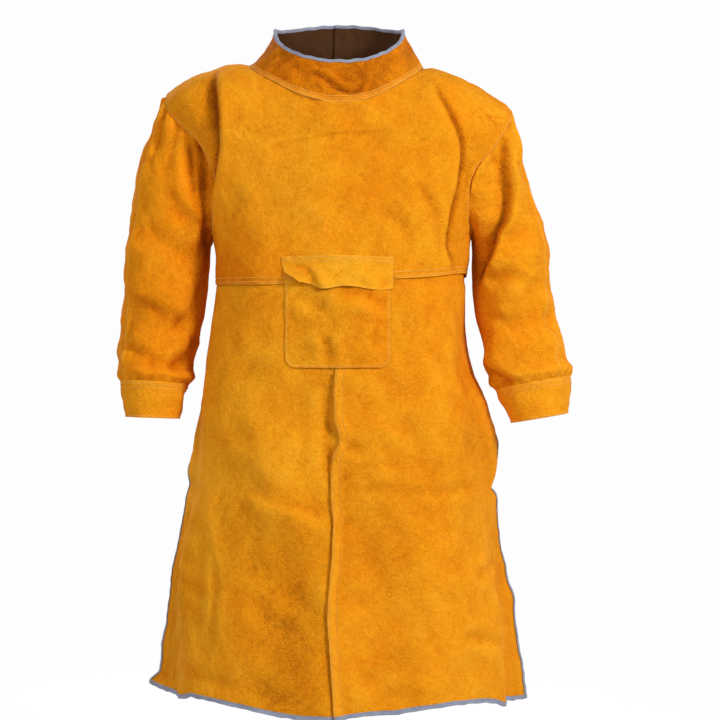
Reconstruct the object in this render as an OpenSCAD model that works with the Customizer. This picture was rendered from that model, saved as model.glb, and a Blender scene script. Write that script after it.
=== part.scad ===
// Sleeved leather welding coat, worn with its opening at the back.
// The frame has +Z up and -Y to the front. Its origin is the middle of the neck opening.
// The coat is modelled as it hangs on a wearer. Millimetres throughout.

/* [Coat] */
// Drop of the hem below the neck opening
hem_drop = 1083; // [1000:1:1120]
// Drop of the waist seam below the neck opening
waist_drop = 360; // [350:1:370]
// Half width across the shoulder seams
shoulder_half_w = 300; // [295:1:305]
// Half width at the waist seam
waist_half_w = 222; // [215:1:224]
// Half width at the hem
hem_half_w = 320; // [300:1:330]
// How far the skirt stands forward at the hem
hem_front = 200; // [190:1:215]
// Thickness of the split leather
leather_t = 1.6; // [1.4:0.1:1.8]

/* [Collar] */
// Half width of the neck seam
neck_half_w = 150; // [146:1:154]
// Half width of the collar's rim
rim_half_w = 117; // [112:1:122]
// Height of the collar's rim above the neck point at the sides
rim_rise = 85; // [80:1:90]

/* [Skirt seam] */
// Where the skirt's middle seam runs, measured from the coat's middle plane
skirt_seam_x = -14; // [-20:1:0]

/* [Pocket] */
// Width of the pocket pouch
pocket_w = 178; // [170:1:184]
// Height of the pocket pouch
pocket_h = 150; // [140:1:155]
// Radius of the pouch's lower corners
pocket_corner_r = 18; // [10:1:30]
// Room inside the pouch at its mouth
pocket_room = 8; // [6.5:0.5:8]
// Width of the pocket flap
flap_w = 194; // [188:1:200]
// Height of the pocket flap
flap_h = 62; // [56:1:66]

/* [Bindings and strap] */
// Width of the edge binding seen from outside
binding_w = 8; // [6:0.5:10]
// Width of the waist webbing
webbing_w = 25; // [24:1:26]
// Thickness of the waist webbing
webbing_t = 1.5; // [1.3:0.1:1.6]
// Drop of the waist strap below the neck opening
strap_drop = 392; // [388:1:396]

/* [Hidden] */

suede = [0.86, 0.52, 0.10];
suede_light = [0.90, 0.58, 0.14];
binding_grey = [0.58, 0.60, 0.68];
webbing_black = [0.10, 0.10, 0.11];
plastic_black = [0.07, 0.07, 0.08];
tape_grey = [0.35, 0.36, 0.38];

seam_gap = 0.4;       // clear space left between two pieces that are sewn edge to edge
fullness = 0.22;      // how much boxier than an ellipse each horizontal section is
last_col = 0.024;     // share of a panel's width in its last column
step_phi = 0.5;       // steps for the numeric normals
step_t = 0.01;

// ---------------------------------------------------------------- body surface
// Each ring is one level of the coat: half width, front depth, back depth, and the heights
// of its front middle, sides and back middle.
RIM = 0;
NECK = 1;
SHOULDER = 2;
CHEST = 3;
ARMPIT = 4;
WAIST = 5;
HEM = 9;
skirt_drop = hem_drop - waist_drop;
function skirt_level(share) = -waist_drop - skirt_drop * share;
function skirt_half_w(share) = waist_half_w + (hem_half_w - waist_half_w) * share;
rings = [
    [rim_half_w, 100, 92, 22, rim_rise, rim_rise + 16],
    [neck_half_w, 118, 96, -49, 14, 26],
    [shoulder_half_w, 128, 104, -102, -37, -34],
    [258, 142, 122, -170, -162, -162],
    [230, 150, 128, -276, -276, -276],
    [waist_half_w, 156, 122, -waist_drop, -waist_drop, -waist_drop],
    [skirt_half_w(0.32), 166, 116, skirt_level(0.29), skirt_level(0.29), skirt_level(0.29)],
    [skirt_half_w(0.56), 176, 106, skirt_level(0.54), skirt_level(0.54), skirt_level(0.54)],
    [skirt_half_w(0.84), 188, 96, skirt_level(0.78), skirt_level(0.78), skirt_level(0.78)],
    [hem_half_w, hem_front, 88, -hem_drop, -hem_drop, -hem_drop]
];
// Angle from the front middle to the free back edge, at each ring
back_edge = [177, 177, 172, 166, 158, 150, 123, 104, 98, 96];
armhole_angle = 25;   // half opening of the armhole, as an angle round the body

// Smooth curve through b and c, with a and d as the points on either side
function catmull(a, b, c, d, u) =
    0.5 * (2 * b + (c - a) * u + (2 * a - 5 * b + 4 * c - d) * u * u
           + (3 * b - a - 3 * c + d) * u * u * u);
function along(table, t, first) =
    let(last = len(table) - 1,
        i = min(max(floor(t), first), last - 1))
    catmull(table[max(i - 1, first)], table[i], table[i + 1], table[min(i + 2, last)], t - i);
function ring_at(t) =
    t < NECK ? rings[RIM] * (NECK - t) + rings[NECK] * t : along(rings, t, NECK);
function back_edge_at(t) = along(back_edge, t, RIM);
function body_point(phi, t) =
    let(r = ring_at(t), s = sin(phi), c = cos(phi))
    [r[0] * s,
     -c * (1 + fullness * s * s) * (c > 0 ? r[1] : r[2]),
     r[4] + ((c > 0 ? r[3] : r[5]) - r[4]) * c * c];
function unit(v) = v / norm(v);
function across(phi, t) = unit(body_point(phi + step_phi, t) - body_point(phi - step_phi, t));
// Downward direction on the surface. It is taken inside the collar or inside the body.
function down(phi, t) =
    let(low = t <= NECK ? max(t - step_t, RIM) : t,
        high = t <= NECK ? low + step_t : min(t + step_t, HEM))
    unit(body_point(phi, high) - body_point(phi, high == HEM ? HEM - step_t : low));
function outward(phi, t) = unit(cross(down(phi, t), across(phi, t)));
// Point of the body surface, lifted off it by off
function skin(phi, t, off) = body_point(phi, t) + outward(phi, t) * off;
// The ring value at a height below the armpit, found by halving
function t_at(z, low = ARMPIT, high = HEM, n = 16) =
    let(m = (low + high) / 2)
    n == 0 ? m : along(rings, m, NECK)[4] > z ? t_at(z, m, high, n - 1) : t_at(z, low, m, n - 1);
function phi_at(x, t) = asin(x / ring_at(t)[0]);
// Half angle of a small length along the section at t
function gap_angle(length, t) = length / ring_at(t)[0] * 180 / PI;

// ---------------------------------------------------------------- sheet solids
// A sheet between two grids of points, each a list of rows. Rounded: its rows close on themselves.
module sheet(outer, inner, rounded = false) {
    rows = len(outer);
    cols = len(outer[0]);
    n = rows * cols;
    spans = rounded ? cols : cols - 1;
    points = concat([for (row = outer) each row], [for (row = inner) each row]);
    function at(i, j) = i * cols + j % cols;
    function strip(a, b, c, d) = [[a, b, c], [a, c, d]];
    faces = concat(
        [for (i = [0:rows - 2]) for (j = [0:spans - 1])
            each strip(at(i, j), at(i + 1, j), at(i + 1, j + 1), at(i, j + 1))],
        [for (i = [0:rows - 2]) for (j = [0:spans - 1])
            each strip(n + at(i, j), n + at(i, j + 1), n + at(i + 1, j + 1), n + at(i + 1, j))],
        [for (j = [0:spans - 1])
            each strip(at(0, j), at(0, j + 1), n + at(0, j + 1), n + at(0, j))],
        [for (j = [0:spans - 1])
            each strip(at(rows - 1, j + 1), at(rows - 1, j), n + at(rows - 1, j), n + at(rows - 1, j + 1))],
        rounded ? [] : [for (i = [0:rows - 2])
            each strip(at(i + 1, 0), at(i, 0), n + at(i, 0), n + at(i + 1, 0))],
        rounded ? [] : [for (i = [0:rows - 2])
            each strip(at(i, cols - 1), at(i + 1, cols - 1), n + at(i + 1, cols - 1), n + at(i, cols - 1))]
    );
    polyhedron(points, [for (f = faces) [f[2], f[1], f[0]]], convexity = 6);
}
// Shares across a panel of its columns, the last one narrow so that a binding lies flat on it
function shares(cols) = concat([for (j = [0:cols - 1]) j / cols], [1 - last_col, 1]);
// A body panel over rows of ring values, between two angles given for each row
module panel(rows, from, to, cols, top = 0, under = -leather_t) {
    function grid(off) = [for (k = [0:len(rows) - 1])
        [for (u = shares(cols)) skin(from[k] + (to[k] - from[k]) * u, rows[k], off)]];
    sheet(grid(top), grid(under));
}
// A strip folded over an edge. Frames is a list of [point on the edge, direction off the edge, normal].
module folded_strip(frames) {
    half = leather_t / 2 + seam_gap + 1;
    slot = leather_t / 2 + seam_gap;
    profile = [[-binding_w, half], [1.4, half], [1.4, -half], [-binding_w, -half],
               [-binding_w, -slot], [seam_gap, -slot], [seam_gap, slot], [-binding_w, slot]];
    m = len(profile);
    last = len(frames) - 1;
    points = [for (f = frames) for (p = profile)
        f[0] - f[2] * leather_t / 2 + f[1] * p[0] + f[2] * p[1]];
    walls = [for (i = [0:last - 1]) for (j = [0:m - 1])
        let(a = i * m + j, b = i * m + (j + 1) % m)
        each [[a, b, b + m], [a, b + m, a + m]]];
    caps = [[for (j = [m - 1:-1:0]) j], [for (j = [0:m - 1]) last * m + j]];
    polyhedron(points, [for (f = concat(walls, caps)) [for (k = [len(f) - 1:-1:0]) f[k]]], convexity = 6);
}
module flip(side) {
    mirror([side < 0 ? 1 : 0, 0, 0]) children();
}

// ---------------------------------------------------------------- coat panels
armhole_rows = [for (s = [15:15:165]) CHEST - cos(s)];
bodice_rows = concat([NECK + 0.01, 1.33, 1.66, SHOULDER - 0.015], armhole_rows,
                     [ARMPIT + 0.015, 4.5, WAIST - 0.005]);
skirt_rows = [for (k = [0:14]) WAIST + 0.002 + (HEM - WAIST - 0.002) * k / 14];
function in_armhole(t) = t > SHOULDER && t < ARMPIT;
function armhole_half(t) = (armhole_angle + 0.5) * sqrt(1 - pow((t - CHEST) / 1.015, 2));
function front_limit(t) = 90 - (in_armhole(t) ? armhole_half(t) : gap_angle(seam_gap, t) / 2);
function back_limit(t) = 90 + (in_armhole(t) ? armhole_half(t) : gap_angle(seam_gap, t) / 2);

module bodice_front() {
    limits = [for (t = bodice_rows) front_limit(t)];
    color(suede) panel(bodice_rows, -limits, limits, 18);
}
module back(side) {
    color(suede) flip(side)
        panel(bodice_rows, [for (t = bodice_rows) back_limit(t)],
              [for (t = bodice_rows) back_edge_at(t)], 7);
}
skirt_cols = 16;
function skirt_middle(side, t) = gap_angle(seam_gap, t) / 2 + side * phi_at(skirt_seam_x, t);
module skirt(side) {
    color(suede) flip(side)
        panel(skirt_rows, [for (t = skirt_rows) skirt_middle(side, t)],
              [for (t = skirt_rows) back_edge_at(t)], skirt_cols);
}

// ---------------------------------------------------------------- collar
collar_end = 176;
collar_rows = [RIM + 0.01, 0.25, 0.5, 0.75, NECK - 0.01];
lining_rows = [0.17, 0.36, 0.56, 0.76, NECK - 0.01];
module collar_layer(rows, top, under) {
    panel(rows, [for (t = rows) -collar_end], [for (t = rows) collar_end], 36, top, under);
}
module collar_outer() {
    color(suede) collar_layer(collar_rows, 0, -leather_t);
}
module collar_lining() {
    color(suede) collar_layer(lining_rows, -leather_t - 0.4, -leather_t * 2);
}
// The closing tab's root is at tab_root. It reaches past the back middle, over the other end.
tab_root = 191;
tab_tip = 147;
tab_rows = [0.22, 0.5, 0.8];
module collar_patch(from, to, rows, top, under, cols) {
    panel(rows, [for (t = rows) from], [for (t = rows) to], cols, top, under);
}
module collar_tab() {
    color(suede) collar_patch(tab_tip, tab_root, tab_rows, 5.4, 3.8, 8);
}
module collar_hook_patch() {
    color(tape_grey) collar_patch(tab_tip + 3, tab_tip + 23, [0.3, 0.72], 3.4, 2.2, 4);
}
module collar_loop_patch() {
    color(tape_grey) collar_patch(tab_tip + 1, collar_end - 1, [0.28, 0.74], 1.6, 0.4, 5);
}

// ---------------------------------------------------------------- bindings
function edge_frame(phi, t) = [body_point(phi, t), across(phi, t), outward(phi, t)];
function rim_frame(phi, t) = [body_point(phi, t), -down(phi, t), outward(phi, t)];
function hem_frame(phi) = [body_point(phi, HEM), down(phi, HEM), outward(phi, HEM)];
module collar_binding() {
    color(binding_grey)
        folded_strip([for (k = [0:36]) rim_frame(collar_end * (k / 18 - 1), collar_rows[0])]);
}
module edge_binding(side) {
    // the waist joint of the two panels is bridged by their own end rows
    ts = concat([1.33, 1.66, SHOULDER - 0.015], armhole_rows, [ARMPIT + 0.015, 4.5, WAIST - 0.005],
                [for (k = [0:13]) skirt_rows[k]], [HEM - 0.11]);
    color(binding_grey) flip(side)
        folded_strip([for (t = ts) edge_frame(back_edge_at(t), t)]);
}
module hem_binding() {
    // it turns at the skirt panels' own columns, from the right free edge to the left
    reach = back_edge_at(HEM);
    columns = shares(skirt_cols);
    last = len(columns) - 1;
    function hem_angle(side, k) =
        let(m = skirt_middle(side, HEM)) side * min(m + (reach - m) * columns[k], reach - gap_angle(2, HEM));
    color(binding_grey)
        folded_strip([for (a = concat([for (k = [0:last]) hem_angle(1, last - k)],
                                      [for (k = [0:last]) hem_angle(-1, k)])) hem_frame(a)]);
}

// ---------------------------------------------------------------- pocket
pocket_x = -6;
pocket_top = -350;
flap_top = -315;
// Room under the pouch, full at its mouth and none at its foot and sides
function pocket_lift(x, z) =
    let(u = min(1, abs(x - pocket_x) * 2 / pocket_w), v = min(1, max(0, (pocket_top - z) / pocket_h)))
    pocket_room * (1 - u * u) * (1 - v * v);
function on_front(x, z, off) = let(t = t_at(z)) skin(phi_at(x, t), t, off);
function pocket_half(z) =
    let(d = max(0, pocket_corner_r - (z - pocket_top + pocket_h)))
    pocket_w / 2 - pocket_corner_r + sqrt(pow(pocket_corner_r, 2) - d * d);
module pocket_pouch() {
    foot = pocket_top - pocket_h;
    zs = concat([pocket_top, -370, -395, -420, -445, -465, foot + pocket_corner_r],
                [for (k = [0.6, 0.3, 0.1, 0]) foot + pocket_corner_r * k]);
    function grid(off) = [for (z = zs) [for (j = [-7:7])
        let(x = pocket_x + pocket_half(z) * j / 7) on_front(x, z, pocket_lift(x, z) + 0.5 + off)]];
    color(suede_light) sheet(grid(leather_t), grid(0));
}
module pocket_flap() {
    zs = [for (k = [0:5]) flap_top - flap_h * k / 5];
    function lift(x, z) =
        let(v = min(1, (flap_top - z) / 30), ease = v * v * (3 - 2 * v))
        0.5 + ease * (3 + pocket_room * (1 - pow((x - pocket_x) * 2 / flap_w, 2)));
    function grid(off) = [for (z = zs) [for (j = [-7:7])
        let(x = pocket_x + flap_w / 2 * j / 7) on_front(x, z, lift(x, z) + off)]];
    color(suede_light) sheet(grid(leather_t), grid(0));
}

// ---------------------------------------------------------------- sleeves
// Stations down each arm, drawn on the +X side: middle x, y and z, half width and half depth
arm_left = [
    [308, 4, -300, 73, 72], [318, 8, -391, 74, 74], [327, -6, -472, 67, 70],
    [332, -24, -540, 59, 62], [336, -42, -597, 48, 52]
];
arm_right = [
    [304, 4, -300, 72, 72], [311, 6, -391, 73, 74], [325, -8, -472, 68, 70],
    [339, -26, -540, 66, 62], [349, -44, -597, 50, 52]
];
arm_cols = 24;
cap_bulge = [22, 0, 14];
function armhole_point(s) =
    body_point(90 - armhole_angle * sin(s), CHEST - cos(s)) + [1.5, 0, 0];
// The ring of a station, square to the arm. s is 0 outside, 90 in front, 180 inside.
function arm_ring(arm, k, s) =
    let(m = arm[k],
        way = unit([for (a = [0:2]) arm[min(k + 1, 4)][a] - arm[max(k - 1, 0)][a]]),
        front = unit(cross(way, [1, 0, 0])),
        side = cross(front, way))
    [m[0], m[1], m[2]] + side * m[3] * cos(s) + front * m[4] * sin(s);
function sleeve_ring(arm, k, s) =
    k == 0 ? armhole_point(s)
    : k == 1 ? (armhole_point(s) + arm_ring(arm, 0, s)) / 2 + cap_bulge * max(0, cos(s))
    : arm_ring(arm, k - 2, s);
SLEEVE_END = 5;
CUFF_END = 6;
function sleeve_point(arm, s, k) =
    let(i = min(floor(k), CUFF_END - 1))
    catmull(sleeve_ring(arm, max(i - 1, 0), s), sleeve_ring(arm, i, s), sleeve_ring(arm, i + 1, s),
            sleeve_ring(arm, min(i + 2, CUFF_END), s), k - i);
function sleeve_skin(arm, s, k, off) =
    let(round = sleeve_point(arm, s + 2, k) - sleeve_point(arm, s - 2, k),
        lower = min(k + 0.02, CUFF_END),
        fall = sleeve_point(arm, s, lower) - sleeve_point(arm, s, lower - 0.02))
    sleeve_point(arm, s, k) + unit(cross(fall, round)) * off;
sleeve_rows = [0, 0.3, 0.6, 1, 1.5, 2, 2.5, 3, 3.5, 4, 4.5, SLEEVE_END - 0.01];
// The outer seam's angle from the outside line, at the armhole and at the cuff
seam_left = [30, 36];
seam_right = [18, 54];
function seam_at(seam, k) = seam[0] + (seam[1] - seam[0]) * k / SLEEVE_END;
module sleeve_half(side, arm, seam, from_seam) {
    half_gap = 0.2;
    function grid(off) = [for (k = sleeve_rows)
        let(a = from_seam ? seam_at(seam, k) + half_gap : 180 + half_gap,
            b = from_seam ? 180 - half_gap : 360 + seam_at(seam, k) - half_gap,
            cols = arm_cols / 2)
        [for (j = [0:cols]) sleeve_skin(arm, a + (b - a) * j / cols, k, off)]];
    flip(side) sheet(grid(-leather_t), grid(0));
}
module cuff(side, arm) {
    ks = [SLEEVE_END + 0.01, 5.35, 5.7, CUFF_END];
    function grid(off) = [for (k = ks)
        [for (j = [0:arm_cols - 1]) sleeve_skin(arm, j * 360 / arm_cols, k, off)]];
    flip(side) sheet(grid(-leather_t * 0.6), grid(leather_t * 0.6), true);
}
module sleeve_left_front() {
    color(suede) sleeve_half(-1, arm_left, seam_left, true);
}
module sleeve_left_back() {
    color(suede) sleeve_half(-1, arm_left, seam_left, false);
}
module cuff_left() {
    color(suede_light) cuff(-1, arm_left);
}
module sleeve_right_front() {
    color(suede) sleeve_half(1, arm_right, seam_right, true);
}
module sleeve_right_back() {
    color(suede) sleeve_half(1, arm_right, seam_right, false);
}
module cuff_right() {
    color(suede_light) cuff(1, arm_right);
}

// ---------------------------------------------------------------- waist strap and buckle
strap_z = -strap_drop;
strap_t = t_at(strap_z);
strap_edge = back_edge_at(strap_t);
function strap_point(side, phi, off) = let(p = skin(phi, strap_t, off)) [side * p[0], p[1]];
anchor_w = 34;
anchor_from = strap_edge - 17;
anchor_to = strap_edge - 5;
buckle_y = strap_point(1, strap_edge, 0)[1] + 9;
socket_l = 30;
socket_w = 36;
socket_h = 9;
bar_h = 2.4;
slot_l = 3.4;
plug_base_l = 16;
plug_at = 0.4;
ply = webbing_t / 2;  // half the webbing's thickness
wrap = bar_h / 2 + 0.35 + ply;

module strap_anchor(side) {
    zs = [strap_z + anchor_w / 2, strap_z, strap_z - anchor_w / 2];
    rows = [for (z = zs) t_at(z)];
    color(suede) flip(side)
        panel(rows, [for (t = rows) anchor_from], [for (t = rows) anchor_to], 4, 0.4 + leather_t, 0.4);
}
// A flat band of webbing that stands on edge and follows a path of x, y points
module band(path) {
    translate([0, 0, strap_z - webbing_w / 2]) linear_extrude(webbing_w) {
        for (k = [0:len(path) - 2]) {
            way = path[k + 1] - path[k];
            translate(path[k]) rotate(atan2(way[1], way[0])) translate([0, -ply]) square([norm(way), webbing_t]);
        }
        for (k = [1:len(path) - 2]) translate(path[k]) circle(ply, $fn = 24);
    }
}
strap_lift = 1.2 + leather_t + ply;
function strap_lead(side) = [for (phi = [anchor_from + 1:4:anchor_to + 1]) strap_point(side, phi, strap_lift)];
// The half turn that the webbing makes round a bar, open towards opening (-1 or 1 along X)
module strap_turn(x, opening) {
    translate([x, buckle_y, strap_z - webbing_w / 2]) linear_extrude(webbing_w) difference() {
        circle(wrap + ply, $fn = 40);
        circle(wrap - ply, $fn = 40);
        translate([opening < 0 ? -10 : 0, -10]) square([10, 20]);
    }
}
module waist_strap_left() {
    turn = -socket_l + 2.8;
    over_edge = strap_point(-1, strap_edge, strap_lift + 1.2);
    color(webbing_black) {
        band(concat(strap_lead(-1), [over_edge, [-56, buckle_y + wrap], [turn, buckle_y + wrap]]));
        band([[turn, buckle_y - wrap], [-52, buckle_y - wrap], [-56, buckle_y + wrap - webbing_t + 0.2]]);
        strap_turn(turn, -1);
    }
}
module waist_strap_right() {
    turn = plug_at + plug_base_l - 3.1;
    over_edge = strap_point(1, strap_edge, strap_lift + 1.2);
    color(webbing_black) {
        band(concat(strap_lead(1), [over_edge, [plug_base_l + 8, buckle_y + wrap], [turn, buckle_y + wrap]]));
        band([[turn, buckle_y - wrap], [plug_base_l + 8, buckle_y - wrap],
              [plug_base_l + 42, buckle_y - wrap - 0.6]]);
        strap_turn(turn, 1);
    }
}
module strap_keeper() {
    // elastic ring round the webbing and its tail
    keeper_x = plug_base_l + 30;
    low_y = buckle_y - wrap - 0.6 - ply - 0.5;
    inner_h = 2 * wrap + 0.8 + webbing_t + 1.6;
    color(plastic_black) translate([keeper_x, low_y, strap_z - webbing_w / 2 - 0.5]) difference() {
        translate([0, -1, -1]) cube([8, inner_h + 2, webbing_w + 3]);
        translate([-1, 0, 0]) cube([10, inner_h, webbing_w + 1]);
    }
}
module rounded_block(l, h, w, r) {
    // lies along +X, h thick in Y, w tall in Z, with its four long corners rounded
    rotate([90, 0, 0]) linear_extrude(h, center = true) {
        translate([r, -w / 2]) square([l - 2 * r, w]);
        translate([0, -w / 2 + r]) square([l, w - 2 * r]);
        for (x = [r, l - r]) for (z = [-w / 2 + r, w / 2 - r]) translate([x, z]) circle(r, $fn = 32);
    }
}
module buckle_socket() {
    window = [9, socket_h + 2, 5];
    color(plastic_black) translate([-socket_l, buckle_y, strap_z]) {
        difference() {
            translate([slot_l + 3.6, 0, 0]) rounded_block(socket_l - slot_l - 3.6, socket_h, socket_w, 3);
            translate([slot_l + 6, -2.7, -14.2]) cube([socket_l, 5.4, 28.4]);
            for (z = [-socket_w / 2 - 1, socket_w / 2 - 4])
                translate([14, -socket_h / 2 - 1, z]) cube(window);
        }
        for (z = [-socket_w / 2, socket_w / 2 - 4])
            translate([0, -bar_h / 2, z]) cube([slot_l + 4.5, bar_h, 4]);
        translate([0, -bar_h / 2, -socket_w / 2 + 3]) cube([2.2, bar_h, socket_w - 6]);
    }
}
module buckle_plug() {
    color(plastic_black) translate([plug_at, buckle_y, strap_z]) {
        difference() {
            rounded_block(plug_base_l, 6, socket_w, 3);
            translate([4.2, -4, -13.4]) cube([3, 8, 26.8]);
            translate([9.6, -4, -13.4]) cube([3, 8, 26.8]);
            translate([4.2, bar_h / 2, -13.4]) cube([20, 4, 26.8]);
            translate([4.2, -bar_h / 2 - 4, -13.4]) cube([20, 4, 26.8]);
        }
        // guide tongue between the prongs
        translate([-19, -2, -2.5]) cube([19.5, 4, 5]);
    }
}
module buckle_prongs() {
    color(plastic_black) translate([plug_at, buckle_y, strap_z])
        for (side = [-1, 1]) scale([1, 1, side]) rotate([90, 0, 0]) translate([0, 0, -2]) linear_extrude(4)
            polygon([[-0.2, 8.6], [-18, 8.6], [-20.3, 10.5], [-17, 13.4], [-15.9, 13.5], [-14.4, 16.6],
                     [-9, 16.6], [-8.4, 13.2], [-0.2, 12.2]]);
}

bodice_front();
back(-1);  // back_left
back(1);  // back_right
skirt(-1);  // skirt_left
skirt(1);  // skirt_right
collar_outer();
collar_lining();
collar_binding();
edge_binding(-1);  // edge_binding_left
edge_binding(1);  // edge_binding_right
hem_binding();
pocket_pouch();
pocket_flap();
sleeve_left_front();
sleeve_left_back();
cuff_left();
sleeve_right_front();
sleeve_right_back();
cuff_right();
collar_tab();
collar_hook_patch();
collar_loop_patch();
strap_anchor(-1);  // strap_anchor_left
strap_anchor(1);  // strap_anchor_right
waist_strap_left();
waist_strap_right();
buckle_socket();
buckle_plug();
buckle_prongs();
strap_keeper();
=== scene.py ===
import math

import bpy
import numpy as np
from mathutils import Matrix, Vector


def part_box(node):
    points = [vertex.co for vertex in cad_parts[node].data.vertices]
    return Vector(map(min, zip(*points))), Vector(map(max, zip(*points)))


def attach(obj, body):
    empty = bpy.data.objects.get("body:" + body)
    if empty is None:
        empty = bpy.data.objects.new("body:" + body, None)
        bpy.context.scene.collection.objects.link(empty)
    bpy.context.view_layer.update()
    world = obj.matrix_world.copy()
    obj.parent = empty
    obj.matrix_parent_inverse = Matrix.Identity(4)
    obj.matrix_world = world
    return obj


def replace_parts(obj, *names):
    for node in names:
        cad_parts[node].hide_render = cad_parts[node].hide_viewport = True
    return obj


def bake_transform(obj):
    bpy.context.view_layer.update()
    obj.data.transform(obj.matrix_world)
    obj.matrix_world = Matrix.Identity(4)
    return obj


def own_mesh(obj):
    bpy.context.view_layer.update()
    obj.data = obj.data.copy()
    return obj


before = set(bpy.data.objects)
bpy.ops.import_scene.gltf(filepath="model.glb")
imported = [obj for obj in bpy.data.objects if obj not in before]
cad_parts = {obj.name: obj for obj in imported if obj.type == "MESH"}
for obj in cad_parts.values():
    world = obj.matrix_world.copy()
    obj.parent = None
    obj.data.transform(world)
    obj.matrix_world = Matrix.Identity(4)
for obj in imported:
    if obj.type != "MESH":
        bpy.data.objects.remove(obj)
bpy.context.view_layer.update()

# ---------------------------------------------------------------- sizes, in metres
MM = 0.001                # the tables of folds and lines are in millimetres
LEATHER = 0.0016          # thickness of the split hide
STITCH_PITCH = 0.0042
STITCH_LONG = 0.0031
THREAD_R = 0.00052
GRID = 0.0045             # distance between the mesh lines of a panel
SEAM_LAP = 0.011          # how far one hide goes under the next at a lapped seam
BINDING_W = 0.0060
RIM, NECK, SHOULDER, CHEST, ARMPIT, WAIST, HEM = 0, 1, 2, 3, 4, 5, 9
WAIST_Z = -0.360
HEM_Z = -1.083
WAIST_HALF, HEM_HALF = 0.222, 0.320
FULLNESS = 0.22
ARMHOLE_ANGLE = 25.0
COLLAR_END = 176.0
COLLAR_UNDER = 186.0      # the right end of the collar goes under the left one


def skirt_ring(share_z, share_w, front, back):
    z = WAIST_Z + (HEM_Z - WAIST_Z) * share_z
    return [WAIST_HALF + (HEM_HALF - WAIST_HALF) * share_w, front, back, z, z, z]


# Half width, front depth, back depth, and the heights of the front, the sides and the back
RINGS = np.array([
    [0.117, 0.100, 0.092, 0.022, 0.085, 0.101],
    [0.150, 0.118, 0.096, -0.049, 0.014, 0.026],
    [0.300, 0.128, 0.104, -0.102, -0.037, -0.034],
    [0.258, 0.142, 0.122, -0.170, -0.162, -0.162],
    [0.230, 0.150, 0.128, -0.276, -0.276, -0.276],
    [WAIST_HALF, 0.156, 0.122, WAIST_Z, WAIST_Z, WAIST_Z],
    skirt_ring(0.29, 0.32, 0.166, 0.116),
    skirt_ring(0.54, 0.56, 0.176, 0.106),
    skirt_ring(0.78, 0.84, 0.188, 0.096),
    skirt_ring(1.00, 1.00, 0.200, 0.088),
])
BACK_EDGE = np.array([177, 177, 172, 166, 158, 150, 123, 104, 98, 96], float)


# ---------------------------------------------------------------- small maths
def ease(low, high, x):
    """0 at low, 1 at high, and smooth between."""
    u = np.clip((np.asarray(x, float) - low) / (high - low), 0, 1)
    return u * u * (3 - 2 * u)


def bump(x, centre, width):
    return np.exp(-(((np.asarray(x, float) - centre) / width) ** 2))


def along(table, t, first=0):
    """The smooth curve through the rows of table, read at t, with no row before first used."""
    table = np.asarray(table, float)
    t = np.asarray(t, float)
    last = len(table) - 1
    i = np.clip(np.floor(t).astype(int), first, last - 1)
    u = (t - i).reshape(t.shape + (1,) * (table.ndim - 1))
    a, b = table[np.maximum(i - 1, first)], table[i]
    c, d = table[i + 1], table[np.minimum(i + 2, last)]
    return 0.5 * (2 * b + (c - a) * u + (2 * a - 5 * b + 4 * c - d) * u ** 2
                  + (3 * b - a - 3 * c + d) * u ** 3)


def ring_at(t):
    t = np.asarray(t, float)
    collar = RINGS[RIM] * (1 - t[..., None]) + RINGS[NECK] * t[..., None]
    return np.where(t[..., None] < NECK, collar, along(RINGS, np.maximum(t, NECK), NECK))


def back_edge(t):
    return along(BACK_EDGE, t)


def body_point(phi, t):
    """Point of the coat's smooth surface. phi is 0 at the front middle and 90 on the +X side."""
    phi, t = np.broadcast_arrays(np.asarray(phi, float), np.asarray(t, float))
    r = ring_at(t)
    s, c = np.sin(np.radians(phi)), np.cos(np.radians(phi))
    front = c > 0
    depth = np.where(front, r[..., 1], r[..., 2])
    z_mid = np.where(front, r[..., 3], r[..., 5])
    # the collar's front falls away quickly from its sides
    steep = np.where(front, np.clip(1 - t, 0, 1), 0)
    share = c * c + (np.abs(c) ** 0.9 - c * c) * steep
    return np.stack([r[..., 0] * s, -c * (1 + FULLNESS * s * s) * depth,
                     r[..., 4] + (z_mid - r[..., 4]) * share], -1)


def side_name(side):
    return "left" if side < 0 else "right"


def unit(v):
    return v / np.maximum(np.linalg.norm(v, axis=-1, keepdims=True), 1e-12)


def body_normal(phi, t):
    t = np.asarray(t, float)
    across = body_point(phi + 0.4, t) - body_point(phi - 0.4, t)
    high = np.where(t <= NECK, np.maximum(t - 0.01, 0), np.minimum(t, HEM - 0.01))
    down = body_point(phi, high + 0.01) - body_point(phi, high)
    return unit(np.cross(down, across))


BELOW = np.linspace(ARMPIT, HEM, 400)
BELOW_Z = ring_at(BELOW)[:, 4]


def t_at(z):
    """Ring value at a height below the armpits."""
    return np.interp(-np.asarray(z, float), -BELOW_Z, BELOW)


def phi_at(x, t):
    return np.degrees(np.arcsin(np.clip(x / ring_at(t)[..., 0], -0.999, 0.999)))


def ripple(p, wavelength, seed, count=26):
    """Smooth random waves of about unit height over points or pairs p."""
    rng = np.random.default_rng(seed)
    way = unit(rng.normal(size=(count, p.shape[-1])))
    k = 2 * math.pi / wavelength * rng.uniform(0.65, 1.35, count)
    phase = rng.uniform(0, 2 * math.pi, count)
    return np.sin(p @ (way * k[:, None]).T + phase).sum(-1) / math.sqrt(count / 2)


def smooth_line(points, steps=6):
    points = np.asarray(points, float)
    return along(points, np.linspace(0, len(points) - 1, (len(points) - 1) * steps + 1))


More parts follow.
